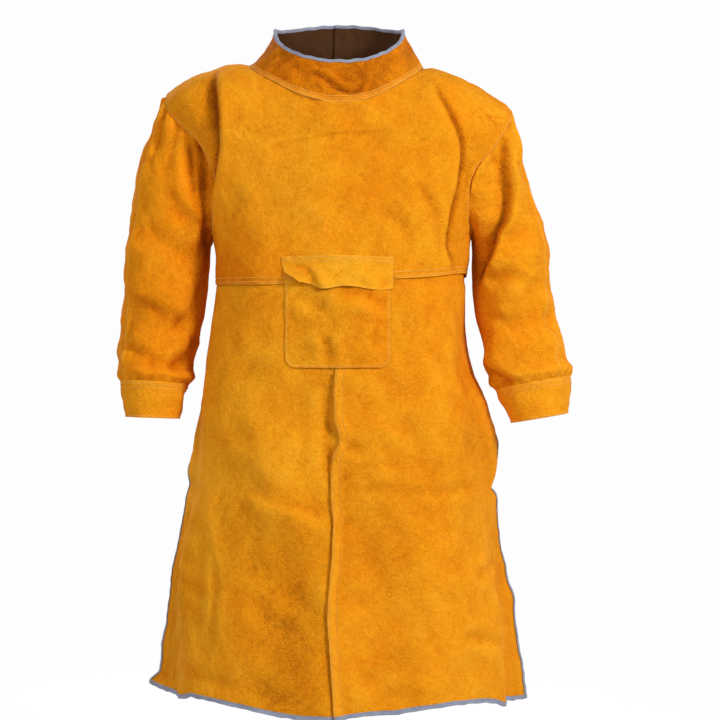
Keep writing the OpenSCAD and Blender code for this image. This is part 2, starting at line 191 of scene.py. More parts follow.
def from_line(x, z, line):
    """Signed distance from a line seen from the front, and the share of its length at that place."""
    line = smooth_line(line) * MM
    size = np.linalg.norm(np.diff(line, axis=0), axis=1)
    start = np.concatenate([[0], np.cumsum(size)])
    best = np.full(x.shape, np.inf)
    side = np.zeros(x.shape)
    share = np.zeros(x.shape)
    for a, b, length, s in zip(line[:-1], line[1:], size, start):
        way = (b - a) / length
        h = np.clip((x - a[0]) * way[0] + (z - a[1]) * way[1], 0, length)
        dx, dz = x - a[0] - h * way[0], z - a[1] - h * way[1]
        d = np.hypot(dx, dz)
        near = d < best
        best = np.where(near, d, best)
        side = np.where(near, np.sign(way[0] * dz - way[1] * dx), side)
        share = np.where(near, (s + h) / start[-1], share)
    return best * side, share


def fold(x, z, line, width, depth, kind):
    """Height of one fold. Its line is drawn as seen from the front, and it dies away at both ends.
    A step stands proud on the left of its line's direction and sinks on the right."""
    d, share = from_line(x, z, line)
    width, depth = width * MM, depth * MM
    fade = ease(0, 0.22, share) * ease(0, 0.22, 1 - share)
    if kind == "ridge":
        h = bump(d, 0, width)
    elif kind == "valley":
        h = -bump(d, 0, width)
    elif kind == "crease":
        h = 0.55 * bump(np.abs(d), 1.9 * width, width) - bump(d, 0, width * 0.8)
    else:
        h = np.tanh(1.6 * d / width) * bump(d, 0, 3.2 * width)
    return depth * fade * h


def folds(x, z, table):
    return sum(fold(x, z, *row) for row in table)


def shadow(x, z, table):
    """Shade where the hide folds under, darkest at each line and less on both sides of it."""
    total = 0
    for line, left, right, depth in table:
        d, share = from_line(x, z, line)
        fade = ease(0, 0.2, share) * ease(0, 0.2, 1 - share)
        total = total - depth * fade * np.exp(-(np.abs(d) / np.where(d > 0, left * MM, right * MM)) ** 1.3)
    return total


# ---------------------------------------------------------------- folds of the coat
# A fold is its line of (x, z) points seen from the front, its width, its depth and its kind, in millimetres.
CHEST_LEFT = [(-206, 4), (-214, -30), (-210, -75), (-208, -112), (-211, -154), (-221, -199), (-231, -262)]
CHEST_RIGHT = [(155, 0), (166, -20), (182, -60), (204, -112), (209, -146), (202, -200), (188, -262),
                (185, -300), (195, -336), (204, -372)]
FRONT_FOLDS = [
    (CHEST_LEFT, 8, 11, "step"),
    (CHEST_RIGHT, 7, 8.5, "valley"),
    (CHEST_RIGHT, 14, -5, "step"),
    ([(236, -70), (258, -55), (285, -48)], 5, 3, "crease"),
    ([(232, -40), (254, -52), (276, -70)], 5, 2.6, "crease"),
    ([(-150, -133), (-92, -117), (-2, -103), (110, -97)], 4.2, 2, "step"),
    ([(2, -110), (3, -200), (-2, -300)], 6, 1, "ridge"),
    ([(60, -225), (105, -262), (118, -318)], 14, 2.2, "crease"),
    ([(128, -180), (150, -215), (166, -262), (178, -330)], 9, 3, "crease"),
    ([(-214, -292), (-150, -315), (-110, -350)], 20, 2.2, "ridge"),
    ([(-60, -28), (-20, -60), (60, -72)], 14, 2, "valley"),
    ([(-178, -716), (-122, -728), (-70, -742), (-8, -768)], 13, -6, "step"),
    ([(0, -705), (83, -708), (169, -713), (262, -706)], 11, 1.8, "crease"),
    ([(-30, -585), (6, -626), (50, -645)], 11, 3.4, "crease"),
    ([(-24, -520), (-26, -580), (-22, -650), (-32, -700)], 12, 5, "crease"),
    ([(-252, -720), (-243, -831), (-248, -933), (-236, -1040)], 12, 3.2, "crease"),
    ([(-285, -760), (-276, -880), (-292, -990)], 12, 3.4, "ridge"),
    ([(-225, -800), (-219, -900), (-226, -1000)], 9, 2.4, "crease"),
    ([(-320, -872), (-275, -878), (-225, -900)], 12, 2.8, "crease"),
    ([(232, -870), (262, -858), (305, -842)], 10, 3, "crease"),
    ([(205, -962), (245, -972), (300, -990)], 11, 3.4, "crease"),
    ([(6, -1058), (60, -1045), (100, -1030), (186, -1058)], 18, 3.6, "ridge"),
    ([(-300, -1030), (-200, -1048), (-110, -1045)], 18, 3.4, "crease"),
    ([(-185, -800), (-120, -860), (-60, -905), (-22, -915)], 22, 2.6, "valley"),
    ([(-150, -880), (-110, -930), (-40, -955)], 14, 1.4, "crease"),
    ([(-170, -480), (-110, -560), (-60, -600)], 30, 3.6, "valley"),
    ([(100, -430), (150, -560), (175, -690)], 40, 4.6, "ridge"),
    ([(-120, -560), (-110, -700), (-120, -860), (-105, -1070)], 45, 6, "ridge"),
    ([(215, -460), (232, -580), (240, -700)], 22, 6, "valley"),
    ([(60, -760), (78, -900), (70, -1080)], 50, 6, "valley"),
    ([(170, -740), (180, -880), (192, -1080)], 45, 6, "ridge"),
]
BACK_FOLDS = [
    ([(-130, -60), (-115, -180), (-105, -330)], 22, 8.5, "crease"),
    ([(135, -50), (110, -170), (120, -340)], 22, 8.5, "crease"),
    ([(-215, -180), (-170, -250), (-130, -345)], 18, 8, "crease"),
    ([(215, -170), (180, -240), (140, -345)], 18, 8, "crease"),
    ([(-245, -100), (-190, -130), (-130, -140)], 20, 7, "crease"),
    ([(245, -100), (180, -125), (120, -120)], 20, 7, "crease"),
    ([(-215, -430), (-220, -560), (-245, -740)], 20, 8.5, "crease"),
    ([(215, -430), (222, -560), (240, -740)], 20, 8.5, "crease"),
    ([(-275, -800), (-280, -900), (-290, -1060)], 18, 8, "crease"),
    ([(270, -790), (282, -900), (285, -1060)], 18, 8, "crease"),
]
ARM_LEFT = [(-252, -75), (-243, -125), (-238, -190), (-236, -270), (-245, -330)]
ARM_RIGHT = [(277, -70), (288, -120), (286, -157), (292, -202), (284, -248), (272, -271), (261, -316),
              (247, -347), (236, -390)]
SLEEVE_FOLDS = {
    "left": [
        (ARM_LEFT, 10, 10.5, "valley"),
        ([(-272, -72), (-266, -115), (-262, -160), (-254, -215)], 7.5, 7, "valley"),
        ([(-290, -80), (-284, -140), (-270, -215)], 12, 4, "ridge"),
        ([(-322, -80), (-314, -150), (-296, -210)], 12, 3.4, "valley"),
        ([(-300, -180), (-275, -226), (-236, -262)], 16, 6, "step"),
        ([(-350, -250), (-300, -297), (-240, -330)], 20, 6, "crease"),
        ([(-380, -372), (-325, -398), (-256, -430)], 17, 10, "step"),
        ([(-240, -345), (-262, -400), (-290, -450)], 14, 8, "crease"),
        ([(-248, -450), (-270, -488), (-306, -514)], 12, 11, "crease"),
        ([(-390, -462), (-350, -486), (-316, -498)], 13, 6, "crease"),
        ([(-372, -180), (-345, -250), (-350, -340)], 22, 3.6, "valley"),
    ],
    "right": [
        (ARM_RIGHT, 7, 17, "step"),
        (ARM_RIGHT, 5, 5, "valley"),
        ([(300, -45), (311, -90), (318, -140), (332, -200)], 10, 7, "valley"),
        ([(330, -230), (318, -300), (322, -370)], 24, 4, "ridge"),
        ([(236, -100), (232, -160), (222, -215)], 12, 6, "ridge"),
        ([(250, -168), (262, -150), (278, -140)], 8, 3, "crease"),
        ([(236, -452), (262, -503), (316, -536)], 13, 15, "step"),
        ([(236, -300), (285, -282), (352, -256)], 18, 4, "crease"),
        ([(356, -400), (378, -440), (402, -462)], 12, 4.5, "crease"),
        ([(262, -436), (320, -425), (395, -432)], 20, 6, "crease"),
        ([(322, -320), (300, -380), (270, -425)], 20, 7.5, "ridge"),
        ([(250, -360), (290, -345), (330, -352)], 14, 5.5, "crease"),
    ],
}
# Shade in the folds: a line, its reach on the left and right of the line's direction,
# all in millimetres, and its depth
FRONT_SHADE = [
    (CHEST_LEFT, 2.5, 15, 0.32),
    (CHEST_RIGHT, 8, 2.2, 0.19),
    (CHEST_RIGHT, 30, 4, 0.1),
    (CHEST_LEFT, 3, 45, 0.12),
]
SLEEVE_SHADE = {
    "left": [
        (ARM_LEFT, 14, 12, 0.26),
        ([(-272, -72), (-266, -115), (-258, -170)], 4, 10, 0.2),
        ([(-262, -150), (-252, -230), (-240, -300), (-250, -380)], 26, 6, 0.22),
    ],
    "right": [
        (ARM_RIGHT, 2.6, 7, 0.26),
        (ARM_RIGHT, 4, 36, 0.1),
        ([(318, -95), (322, -140), (334, -200)], 3, 10, 0.12),
    ],
}
POCKET_SHADE = [
    ([(-94, -338), (-80, -351), (-62, -357), (-46, -366), (-16, -364)], 3, 7.5, 0.3),
]
# Gathers where the sleeve is sewn in: angle, how far it leans, height, and how far it reaches
PLEATS = {
    "left": [(-62, 0, 0.0040, 0.6), (-34, 0, 0.0045, 0.7), (-10, 2, 0.0050, 0.9), (10, 6, 0.0055, 1.0),
             (27, 10, 0.0060, 1.2), (46, 10, 0.0060, 1.1), (66, 4, 0.0055, 0.9)],
    "right": [(-58, 0, 0.0040, 0.6), (-32, 0, 0.0040, 0.7), (-8, 0, 0.0020, 0.6), (14, 4, 0.0040, 0.9),
              (33, 2, 0.0075, 1.1), (58, -6, 0.0040, 0.8)],
}
# The skirt's middle seam wanders as it falls: (z, x), in millimetres
SEAM_WAVE = MM * np.array([
    (-340, -12), (-503, -9), (-532, -12), (-556, -13), (-590, -12), (-606, -6), (-628, -2), (-645, -14),
     (-668, -17), (-725, -17), (-759, -13), (-826, -16), (-898, -22), (-927, -23), (-994, -18), (-1061, -13),
     (-1100, -10)])


def seam_x(z):
    return np.interp(-z, -SEAM_WAVE[:, 0], SEAM_WAVE[:, 1])


def drape(phi, t):
    """How far the leather stands off the smooth surface, folds and all."""
    p, n = body_point(phi, t), body_normal(phi, t)
    x, z = p[..., 0], p[..., 2]
    facing = -n[..., 1]
    h = folds(x, z, FRONT_FOLDS) * ease(-0.1, 0.45, facing)
    h = h + folds(x, z, BACK_FOLDS) * ease(-0.1, 0.45, -facing)
    loose = ease(-0.40, -0.75, z)
    h = h + (0.0014 + 0.0026 * loose) * ripple(p * [1, 1, 0.5], 0.150, 11)
    h = h + 0.0009 * ripple(p * [1, 1, 0.8], 0.050, 12) + 0.00030 * ripple(p, 0.018, 13)
    # soft upright pleats at the sides of the skirt
    sides = bump(np.abs(phi), 92, 24) * ease(-0.38, -0.55, z)
    h = h + 0.0046 * np.sin(np.radians(phi * 11) + 5 * z + np.sign(phi)) * sides
    beside_arm = bump(np.abs(phi), 90, 20) * ease(-0.60, -0.50, z) * ease(-0.15, -0.20, z)
    h = h * (1 - 0.75 * beside_arm) + hang(phi, z) + free_edge(phi, t, z)
    return h * ease(0.0, 0.25, np.abs(t - NECK) + 0.10)


def hang(phi, z):
    """The skirt hangs closer at the sides than its smooth shape, most on the right below the waist."""
    side = -0.007 * bump(np.abs(phi), 84, 28) * ease(-0.60, -0.74, z)
    return side - np.where(phi > 0, 0.024 * bump(phi, 80, 21) * bump(z, -0.470, 0.080)
                           + 0.012 * bump(phi, 84, 28) * ease(-0.72, -0.84, z), 0)


def free_edge(phi, t, z):
    """The open edges flare and wave, and are pinched in at one place on each side."""
    from_edge = back_edge(t) - np.abs(phi)
    skirt, right = ease(-0.45, -0.58, z), phi > 0
    turn_out = np.clip(1 - from_edge / 15, 0, 1) ** 2
    h = turn_out * (0.0200 * skirt + 0.0028 * np.sin(z * 34 + np.sign(phi) * 0.8) * (0.5 + skirt))
    h = h - np.where(right, 0.0160, 0.0060) * bump(z, -0.726, 0.013) * ease(30, 4, from_edge) * skirt
    h = h + 0.0470 * bump(z, -0.642, 0.052) * np.clip(1 - from_edge / 50, 0, 1) ** 2.1 * right
    h = h - 0.0060 * bump(z, -0.900, 0.026) * ease(22, 0, from_edge) * right
    return h + 0.0200 * ease(-1.056, -1.083, z) * ease(24, 0, from_edge) * ~right


# How far the hem hangs below level: (x, drop), in millimetres
HEM_DROP = MM * np.array([
    (-320, 6), (-290, 3), (-260, -11), (-220, -9), (-160, -2), (-110, 8), (-70, 12), (-10, 12), (40, 6),
     (90, 5), (140, -3), (190, -7), (240, -3), (270, 6), (290, 20), (310, 28), (340, 32)])


def settle(p):
    """Moves the hem, the shoulders and the foot of the collar to where they hang in the photo."""
    x, z = p[..., 0], p[..., 2]
    top = ease(-0.26, -0.12, z) * ease(0.080, 0.030, z)
    rise = 0.016 * ease(-0.126, -0.184, x) - 0.011 * bump(x, -0.295, 0.028)
    rise = rise + 0.008 * ease(0.136, 0.172, x) - 0.032 * ease(0.16, 0.30, x)
    drop = np.interp(x, HEM_DROP[:, 0], HEM_DROP[:, 1]) * ease(-0.92, -1.083, z)
    shift = -0.010 * ease(-0.22, -0.30, x) * ease(-0.16, -0.08, z)
    shift = shift - 0.010 * ease(-0.10, -0.145, x) * bump(z, 0.014, 0.024)
    shift = shift - 0.009 * ease(0.02, 0.10, x) * ease(0.24, 0.15, x) * ease(-0.10, -0.03, z)
    return p + np.stack([shift, np.zeros_like(x), rise * top - drop], -1)


def coat_point(phi, t, off=0.0):
    return settle(body_point(phi, t) + body_normal(phi, t) * (drape(phi, t) + off)[..., None])


# ---------------------------------------------------------------- meshes
def grid_normals(p, closed):
    if closed:
        wide = np.concatenate([p[:, -1:], p, p[:, :1]], axis=1)
        across = (wide[:, 2:] - wide[:, :-2]) / 2
    else:
        across = np.gradient(p, axis=1)
    return unit(np.cross(np.gradient(p, axis=0), across))


def arc(p, axis):
    size = np.linalg.norm(np.diff(p, axis=axis), axis=-1)
    pad = np.zeros_like(np.take(size, [0], axis=axis))
    return np.concatenate([pad, np.cumsum(size, axis=axis)], axis=axis)


def new_object(name, points, faces, material, flat_angle=50.0):
    mesh = bpy.data.meshes.new(name)
    mesh.from_pydata(points.reshape(-1, 3).tolist(), [], faces)
    mesh.polygons.foreach_set("use_smooth", [True] * len(mesh.polygons))
    mesh.update()
    mesh.set_sharp_from_angle(angle=math.radians(flat_angle))
    mesh.materials.append(material)
    obj = bpy.data.objects.new(name, mesh)
    bpy.context.scene.collection.objects.link(obj)
    return obj


def add_attribute(obj, name, values, kind="FLOAT"):
    attribute = obj.data.attributes.new(name, kind, "POINT")
    field = "value" if kind == "FLOAT" else "vector"
    attribute.data.foreach_set(field, np.asarray(values, np.float32).ravel())


def grid_faces(rows, cols, closed, turn=False, first=0):
    last = cols if closed else cols - 1
    i, j = np.meshgrid(np.arange(rows - 1), np.arange(last), indexing="ij")
    a, b = first + i * cols + j, first + i * cols + (j + 1) % cols
    quads = np.stack([a, a + cols, b + cols, b], -1).reshape(-1, 4)
    return (quads[:, ::-1] if turn else quads).tolist()


def crest(p, n, reach=3):
    """Height of each point above the mean of its neighbours: more than 0 on a crest, less in a crease."""
    rows, cols = p.shape[:2]
    q = np.pad(p, ((reach, reach), (reach, reach), (0, 0)), mode="reflect", reflect_type="odd")
    mean = (q[:rows, reach:-reach] + q[2 * reach:, reach:-reach]
            + q[reach:-reach, :cols] + q[reach:-reach, 2 * reach:]) / 4
    return ((p - mean) * n).sum(-1)


def sheet_piece(name, outer, material, seed, thickness=LEATHER, tone=0.0, hue=0.0, closed=False):
    """A piece of hide with its outside at the points given, thick towards its inside."""
    rows, cols = outer.shape[:2]
    n = rows * cols
    normal = grid_normals(outer, closed)
    inner = outer - normal * thickness
    faces = grid_faces(rows, cols, closed) + grid_faces(rows, cols, closed, True, n)
    spans = cols if closed else cols - 1
    for j in range(spans):
        k, m = (j + 1) % cols, (rows - 1) * cols
        faces.append([j, k, n + k, n + j])
        faces.append([m + k, m + j, n + m + j, n + m + k])
    if not closed:
        for i in range(rows - 1):
            a, b = i * cols, (i + 1) * cols
            faces.append([b, a, n + a, n + b])
            faces.append([a + cols - 1, b + cols - 1, n + b + cols - 1, n + a + cols - 1])
    obj = new_object(name, np.concatenate([outer.reshape(-1, 3), inner.reshape(-1, 3)]), faces, material)
    across, down = arc(outer, 1), arc(outer, 0)
    away = np.minimum(down, down[-1:] - down)
    if not closed:
        away = np.minimum(away, np.minimum(across, across[:, -1:] - across))
    worn = np.exp(-(away / 0.0028) ** 2)
    place = outer[..., [0, 2, 1]] + [seed * 0.37, seed * 0.53, 0]
    # painted shade darkens the leather in its creases, and a painted highlight lightens its crests
    shade = np.asarray(tone, float) + np.clip(crest(outer, normal) * 60, -0.20, 0.08) * (thickness == LEATHER)
    warm = np.broadcast_to(np.asarray(hue, float), (rows, cols))
    for key, value in (("worn", worn), ("shade", shade), ("hue", warm)):
        add_attribute(obj, key, np.concatenate([value.ravel(), value.ravel()]))
    add_attribute(obj, "inside", np.concatenate([np.zeros(n), np.ones(n)]))
    place = place.reshape(-1, 3)
    add_attribute(obj, "hide", np.concatenate([place, place + [0, 0, 5]]), "FLOAT_VECTOR")
    return obj


def ticks(length, step=GRID, close=(0.0012, 0.0032, 0.0065)):
    """Shares from 0 to 1 for mesh lines, about step apart and closer together at both edges."""
    edge = np.array((0,) + close) / length
    middle = np.linspace(edge[-1] * 1.6, 1 - edge[-1] * 1.6, max(3, int(length / step)))
    return np.concatenate([edge, middle, (1 - edge)[::-1]])


def spread(low, high, share):
    """A grid between two arrays, one per row, at the shares given."""
    low, high = np.asarray(low, float)[:, None], np.asarray(high, float)[:, None]
    return low + (high - low) * share[None, :]


def resample(points, pitch):
    length = arc(points, 0)
    count = max(2, int(length[-1] / pitch))
    at = (np.arange(count) + 0.5) * length[-1] / count
    return np.stack([np.interp(at, length, points[:, k]) for k in range(points.shape[1])], -1)


def stitches(name, paths, material):
    """Rows of short raised threads. Each path is (points, outward directions)."""
    ring = np.array([(math.cos(a), math.sin(a)) for a in np.arange(6) * math.pi / 3])
    stations = np.array([-0.5, -0.32, 0.0, 0.32, 0.5])
    radii = np.array([0.35, 0.9, 1.0, 0.9, 0.35]) * THREAD_R
    sink = np.array([-1.0, -0.1, 0.35, -0.1, -1.0]) * THREAD_R
    template = np.array([[s * STITCH_LONG, r * c, r * q + d] for s, r, d in zip(stations, radii, sink)
                         for c, q in ring])
    m = len(template)
    faces_one = np.array(grid_faces(5, 6, True))
    points, faces = [], []
    for line, out in paths:
        both = resample(np.concatenate([line, out], -1), STITCH_PITCH)
        centre, normal = both[:, :3], unit(both[:, 3:])
        way = unit(np.gradient(centre, axis=0))
        side = unit(np.cross(normal, way))
        up = np.cross(way, side)
        at = (centre[:, None] + way[:, None] * template[None, :, :1] + side[:, None] * template[None, :, 1:2]
              + up[:, None] * template[None, :, 2:])
        first = sum(len(p) for p in points)
        for k in range(len(at)):
            faces += (faces_one + first + k * m).tolist()
            faces.append([first + k * m + j for j in range(5, -1, -1)])
            faces.append([first + k * m + m - 6 + j for j in range(6)])
        points.append(at.reshape(-1, 3))
    points = np.concatenate(points)
    obj = new_object(name, points, faces, material, 80.0)
    add_attribute(obj, "hide", points, "FLOAT_VECTOR")
    return obj


def binding_piece(name, line, inward, outward, material, seed, width=BINDING_W, core=LEATHER):
    """A woven tape folded over an edge. Inward points from the edge into the sheet, in its plane."""
    length = arc(line, 0)
    at = np.linspace(0, length[-1], max(8, int(length[-1] / 0.004)))
    take = [np.stack([np.interp(at, length, v[:, k]) for k in range(3)], -1) for v in (line, inward, outward)]
    line, inward, outward = take[0], unit(take[1]), unit(take[2])
    tape = 0.0009
    half = core / 2 + tape + 0.0003
    around = np.radians(np.linspace(90, -90, 7))
    profile = [(width, half * 0.86), (width * 0.93, half)] + [(width * k, half) for k in (0.7, 0.45, 0.2)]
    profile += [(-half * 0.75 * math.cos(a), half * math.sin(a)) for a in around]
    profile += [(width * k, -half) for k in (0.2, 0.45, 0.7, 0.93)] + [(width, -half * 0.86)]
    inner = core / 2 + 0.0002
    way_in = (width, width * 0.5, 0.0004)
    profile += [(w, -inner) for w in way_in] + [(w, inner) for w in way_in[::-1]]
    profile = np.array(profile)
    wave = 0.0004 * ripple(at[:, None], 0.03, seed)
    spine = line - outward * core / 2
    points = (spine[:, None] + inward[:, None] * (profile[None, :, :1] + wave[:, None, None])
              + outward[:, None] * (profile[None, :, 1:] * (1 + 90 * wave[:, None, None])))
    m = len(profile)
    faces = grid_faces(len(at), m, True, True)
    faces.append(list(range(m)))
    faces.append([(len(at) - 1) * m + k for k in range(m - 1, -1, -1)])
    obj = new_object(name, points, faces, material, 70.0)
    return tape_place(obj, at[:, None], arc(profile, 0)[None], seed)


def tape_place(obj, along_it, across_it, seed):
    """Where each point is on the flat tape, for its weave."""
    at = np.stack(np.broadcast_arrays(along_it, across_it, float(seed)), -1)
    add_attribute(obj, "hide", at, "FLOAT_VECTOR")
    return obj


# ---------------------------------------------------------------- materials
class Nodes:
    """Short hand for building a material's nodes."""

    def __init__(self, name):
        self.material = bpy.data.materials.new(name)
        self.material.use_nodes = True
        self.tree = self.material.node_tree
        self.shader = self.tree.nodes["Principled BSDF"]

    def add(self, kind, inputs=(), **settings):
        node = self.tree.nodes.new(kind)
        for key, value in settings.items():
            setattr(node, key, value)
        for key, value in dict(inputs).items():
            self.put(node.inputs[key], value)
        return node

    def put(self, socket, value):
        """Links a socket to another node's, or gives it a constant."""
        if isinstance(value, bpy.types.NodeSocket):
            self.tree.links.new(value, socket)
        else:
            short = socket.type == "RGBA" and len(value) == 3
            socket.default_value = (*value, 1) if short else value

    def attribute(self, name, output="Fac"):
        return self.add("ShaderNodeAttribute", attribute_name=name).outputs[output]

    def noise(self, vector, scale, detail=4.0, roughness=0.55, distortion=0.0):
        return self.add("ShaderNodeTexNoise", {
            "Vector": vector, "Scale": scale, "Detail": detail, "Roughness": roughness,
            "Distortion": distortion,
        }).outputs["Fac"]

    def stretched(self, vector, scale, turn=0.0):
        node = self.add("ShaderNodeMapping", {"Vector": vector, "Scale": scale, "Rotation": (0, 0, turn)})
        return node.outputs["Vector"]

    def math(self, operation, a, b=0.0, c=0.0, clamp=False):
        return self.add("ShaderNodeMath", {0: a, 1: b, 2: c}, operation=operation, use_clamp=clamp).outputs[0]

    def layered(self, base, parts):
        """base plus each (noise, weight), taken about the noise's middle value."""
        value = self.math("ADD", base, -0.5 * sum(weight for _, weight in parts))
        for part, weight in parts:
            value = self.math("MULTIPLY_ADD", part, weight, value)
        return value

    def ramp(self, value, stops, mode="LINEAR"):
        node = self.add("ShaderNodeValToRGB", {"Fac": value})
        node.color_ramp.interpolation = mode
        while len(node.color_ramp.elements) < len(stops):
            node.color_ramp.elements.new(0.5)
        for element, (position, colour) in zip(node.color_ramp.elements, stops):
            element.position = position
            element.color = colour if len(colour) == 4 else (*colour, 1)
        return node.outputs["Color"]

    def mix(self, factor, a, b, mode="MIX"):
        node = self.add("ShaderNodeMix", data_type="RGBA", blend_type=mode)
        for socket, value in (("Factor", factor), (6, a), (7, b)):
            self.put(node.inputs[socket], value)
        return node.outputs[2]

    def bump(self, height, distance, strength=1.0, normal=None):
        inputs = {"Height": height, "Distance": distance, "Strength": strength}
        if normal is not None:
            inputs["Normal"] = normal
        return self.add("ShaderNodeBump", inputs).outputs["Normal"]

    def finish(self, colour, roughness, normal=None, **fixed):
        self.put(self.shader.inputs["Base Color"], colour)
        self.put(self.shader.inputs["Roughness"], roughness)
        if normal is not None:
            self.put(self.shader.inputs["Normal"], normal)
        for socket, value in fixed.items():
            self.put(self.shader.inputs[socket.replace("_", " ")], value)
        return self.material


def suede_material(name, deep, middle, pale, inner, edge, sheen):
    """Napped split hide: cloudy dye, brushed streaks, a coarse and a fine nap, and pale worn edges."""
    m = Nodes(name)
    place = m.attribute("hide", "Vector")
    clouds = m.noise(m.stretched(place, (1, 0.7, 1)), 6.0, 3.0, 0.6, 0.5)
    patches = m.noise(m.stretched(place, (1, 0.8, 1), 0.6), 26.0, 4.0, 0.62, 0.9)
    streaks = m.noise(m.stretched(place, (1, 0.30, 1), 0.35), 105.0, 3.0, 0.65, 0.5)
    mottle = m.noise(place, 170.0, 3.0, 0.68, 0.6)
    nap = m.noise(place, 380.0, 3.0, 0.7)
    value = m.layered(m.attribute("shade"), [(clouds, 0.42), (patches, 0.30), (streaks, 0.05), (mottle, 0.50),
                                             (nap, 0.68)])
    value = m.math("ADD", value, 0.565, clamp=True)
    brightest = tuple(min(1, c * 1.08 + 0.01) for c in pale)
    colour = m.ramp(value, [(0.0, deep), (0.42, middle), (0.72, pale), (1.0, brightest)])
    orange = m.mix(1.0, colour, (1.0, 0.80, 0.55), "MULTIPLY")
    gold = m.mix(1.0, colour, (0.97, 1.10, 1.7), "MULTIPLY")
    turn = m.layered(m.math("MULTIPLY_ADD", m.attribute("hue"), 0.5, 0.5),
                     [(m.noise(place, 11.0, 4.0, 0.6, 0.7), 1.3)])
    colour = m.mix(m.math("ADD", turn, 0.0, clamp=True), orange, gold)
    rubbed = m.math("MULTIPLY", m.attribute("worn"), m.math("MULTIPLY_ADD", patches, 1.1, -0.20, clamp=True))
    colour = m.mix(rubbed, colour, edge)
    colour = m.mix(m.math("MULTIPLY", m.attribute("inside"), 0.6), colour, inner)
    fibres = m.layered(nap, [(mottle, 1.3), (streaks, 0.2)])
    normal = m.bump(fibres, 0.0024, 0.85, m.bump(patches, 0.005, 0.4))
    return m.finish(colour, m.math("MULTIPLY_ADD", nap, 0.12, 0.86), normal, Sheen_Weight=sheen,
                    Sheen_Roughness=0.45, Sheen_Tint=(1.0, 0.45, 0.06, 1), Specular_IOR_Level=0.06)


def thread_material(name, colour):
    m = Nodes(name)
    place = m.attribute("hide", "Vector")
    shade = m.noise(place, 60.0, 3.0)
    both = m.ramp(shade, [(0.3, tuple(c * 0.7 for c in colour)), (0.7, colour)])
    return m.finish(both, 0.7, m.bump(m.noise(place, 2600.0, 2.0), 0.0003, 0.6), Specular_IOR_Level=0.3)


def woven_material(name, dark, light, threads, roughness=0.85, on_cad=False):
    """Plain weave tape: two sets of fine ribs, a little faded in places."""
    m = Nodes(name)
    place = m.add("ShaderNodeTexCoord").outputs["Object"] if on_cad else m.attribute("hide", "Vector")
    ribs = []
    for axis, scale in (("X", (1, 0, 0)), ("Y", (0, 1, 0))):
        settings = {"Vector": m.stretched(place, scale), "Scale": threads, "Distortion": 1.2, "Detail": 1.0,
                    "Detail Scale": 3.0}
        wave = m.add("ShaderNodeTexWave", settings, wave_type="BANDS", bands_direction=axis)
        ribs.append(wave.outputs["Fac"])
    weave = m.math("MULTIPLY", *ribs)
    fade = m.noise(place, 35.0, 4.0, 0.6)
    value = m.math("ADD", m.math("MULTIPLY", weave, 0.45), m.math("MULTIPLY", fade, 0.65))
    colour = m.ramp(value, [(0.15, dark), (0.85, light)])
    return m.finish(colour, roughness, m.bump(weave, 0.0006, 0.7), Sheen_Weight=0.2, Sheen_Roughness=0.5,
                    Specular_IOR_Level=0.2)


def plastic_material(name, colour):
    m = Nodes(name)
    place = m.add("ShaderNodeTexCoord").outputs["Object"]
    grain = m.noise(place, 1800.0, 3.0, 0.6)
    scuffs = m.noise(m.stretched(place, (1, 1, 0.15), 0.5), 220.0, 5.0, 0.75, 1.0)
    tint = m.ramp(scuffs, [(0.35, colour), (0.75, tuple(c * 1.9 + 0.01 for c in colour))])
    return m.finish(tint, m.math("MULTIPLY_ADD", scuffs, 0.35, 0.26), m.bump(grain, 0.0002, 0.5),
                    Specular_IOR_Level=0.45)


def tape_material(name, colour, scale):
    """Hook or loop tape: a dense pile of tiny bristles."""
    m = Nodes(name)
    place = m.attribute("hide", "Vector")
    cells = m.add("ShaderNodeTexVoronoi", {"Vector": place, "Scale": scale}).outputs["Distance"]
    tint = m.ramp(cells, [(0.0, tuple(min(1, c * 2.2) for c in colour)), (0.6, colour)])
    return m.finish(tint, 0.9, m.bump(cells, 0.0012, 1.0), Sheen_Weight=0.15)


SUEDE = suede_material("suede", (0.260, 0.055, 0.001), (0.730, 0.235, 0.003), (0.900, 0.350, 0.008),
                       (0.600, 0.235, 0.026), (0.940, 0.440, 0.050), 0.10)
SUEDE_DARK = suede_material("suede_dark", (0.018, 0.007, 0.003), (0.052, 0.021, 0.008), (0.100, 0.043, 0.016),
                            (0.070, 0.030, 0.012), (0.120, 0.055, 0.022), 0.06)
THREAD = thread_material("thread", (0.90, 0.47, 0.065))
THREAD_GREY = thread_material("thread_grey", (0.40, 0.42, 0.50))
BINDING = woven_material("binding", (0.16, 0.18, 0.26), (0.48, 0.51, 0.62), 420.0)
BLACK_YARN = ((0.006, 0.006, 0.007), (0.050, 0.050, 0.054), 260.0, 0.75)
WEBBING = woven_material("webbing", *BLACK_YARN)
KEEPER = woven_material("keeper", *BLACK_YARN, on_cad=True)
BUCKLE = plastic_material("buckle", (0.012, 0.012, 0.013))
HOOK_TAPE = tape_material("hook_tape", (0.030, 0.028, 0.026), 1400.0)
LOOP_TAPE = tape_material("loop_tape", (0.060, 0.056, 0.052), 700.0)


def place(obj, body, slot, *nodes):
    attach(obj, body)
    if nodes:
        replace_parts(obj, *nodes)
    return obj


# ---------------------------------------------------------------- bodice and skirt
def waist_seam(phi):
    """Height of the bodice's lower edge, which hangs a little lower on the left."""
    across = np.sin(np.radians(phi)) * ease(-0.3, 0.3, np.cos(np.radians(phi)))
    return -0.3530 + 0.0105 * across + 0.0009 * np.sin(np.radians(phi * 6) + 1)


def armhole_half(t):
    return ARMHOLE_ANGLE * np.sqrt(np.clip(1 - (t - CHEST) ** 2, 0, 1))


def armhole_edge(t):
    """Where a panel ends beside the armhole: its edge goes a little way under the sleeve."""
    inside = (t > SHOULDER) & (t < ARMPIT)
    return np.where(inside, np.maximum(armhole_half(t) - 2.2, 0.0), 0.0)


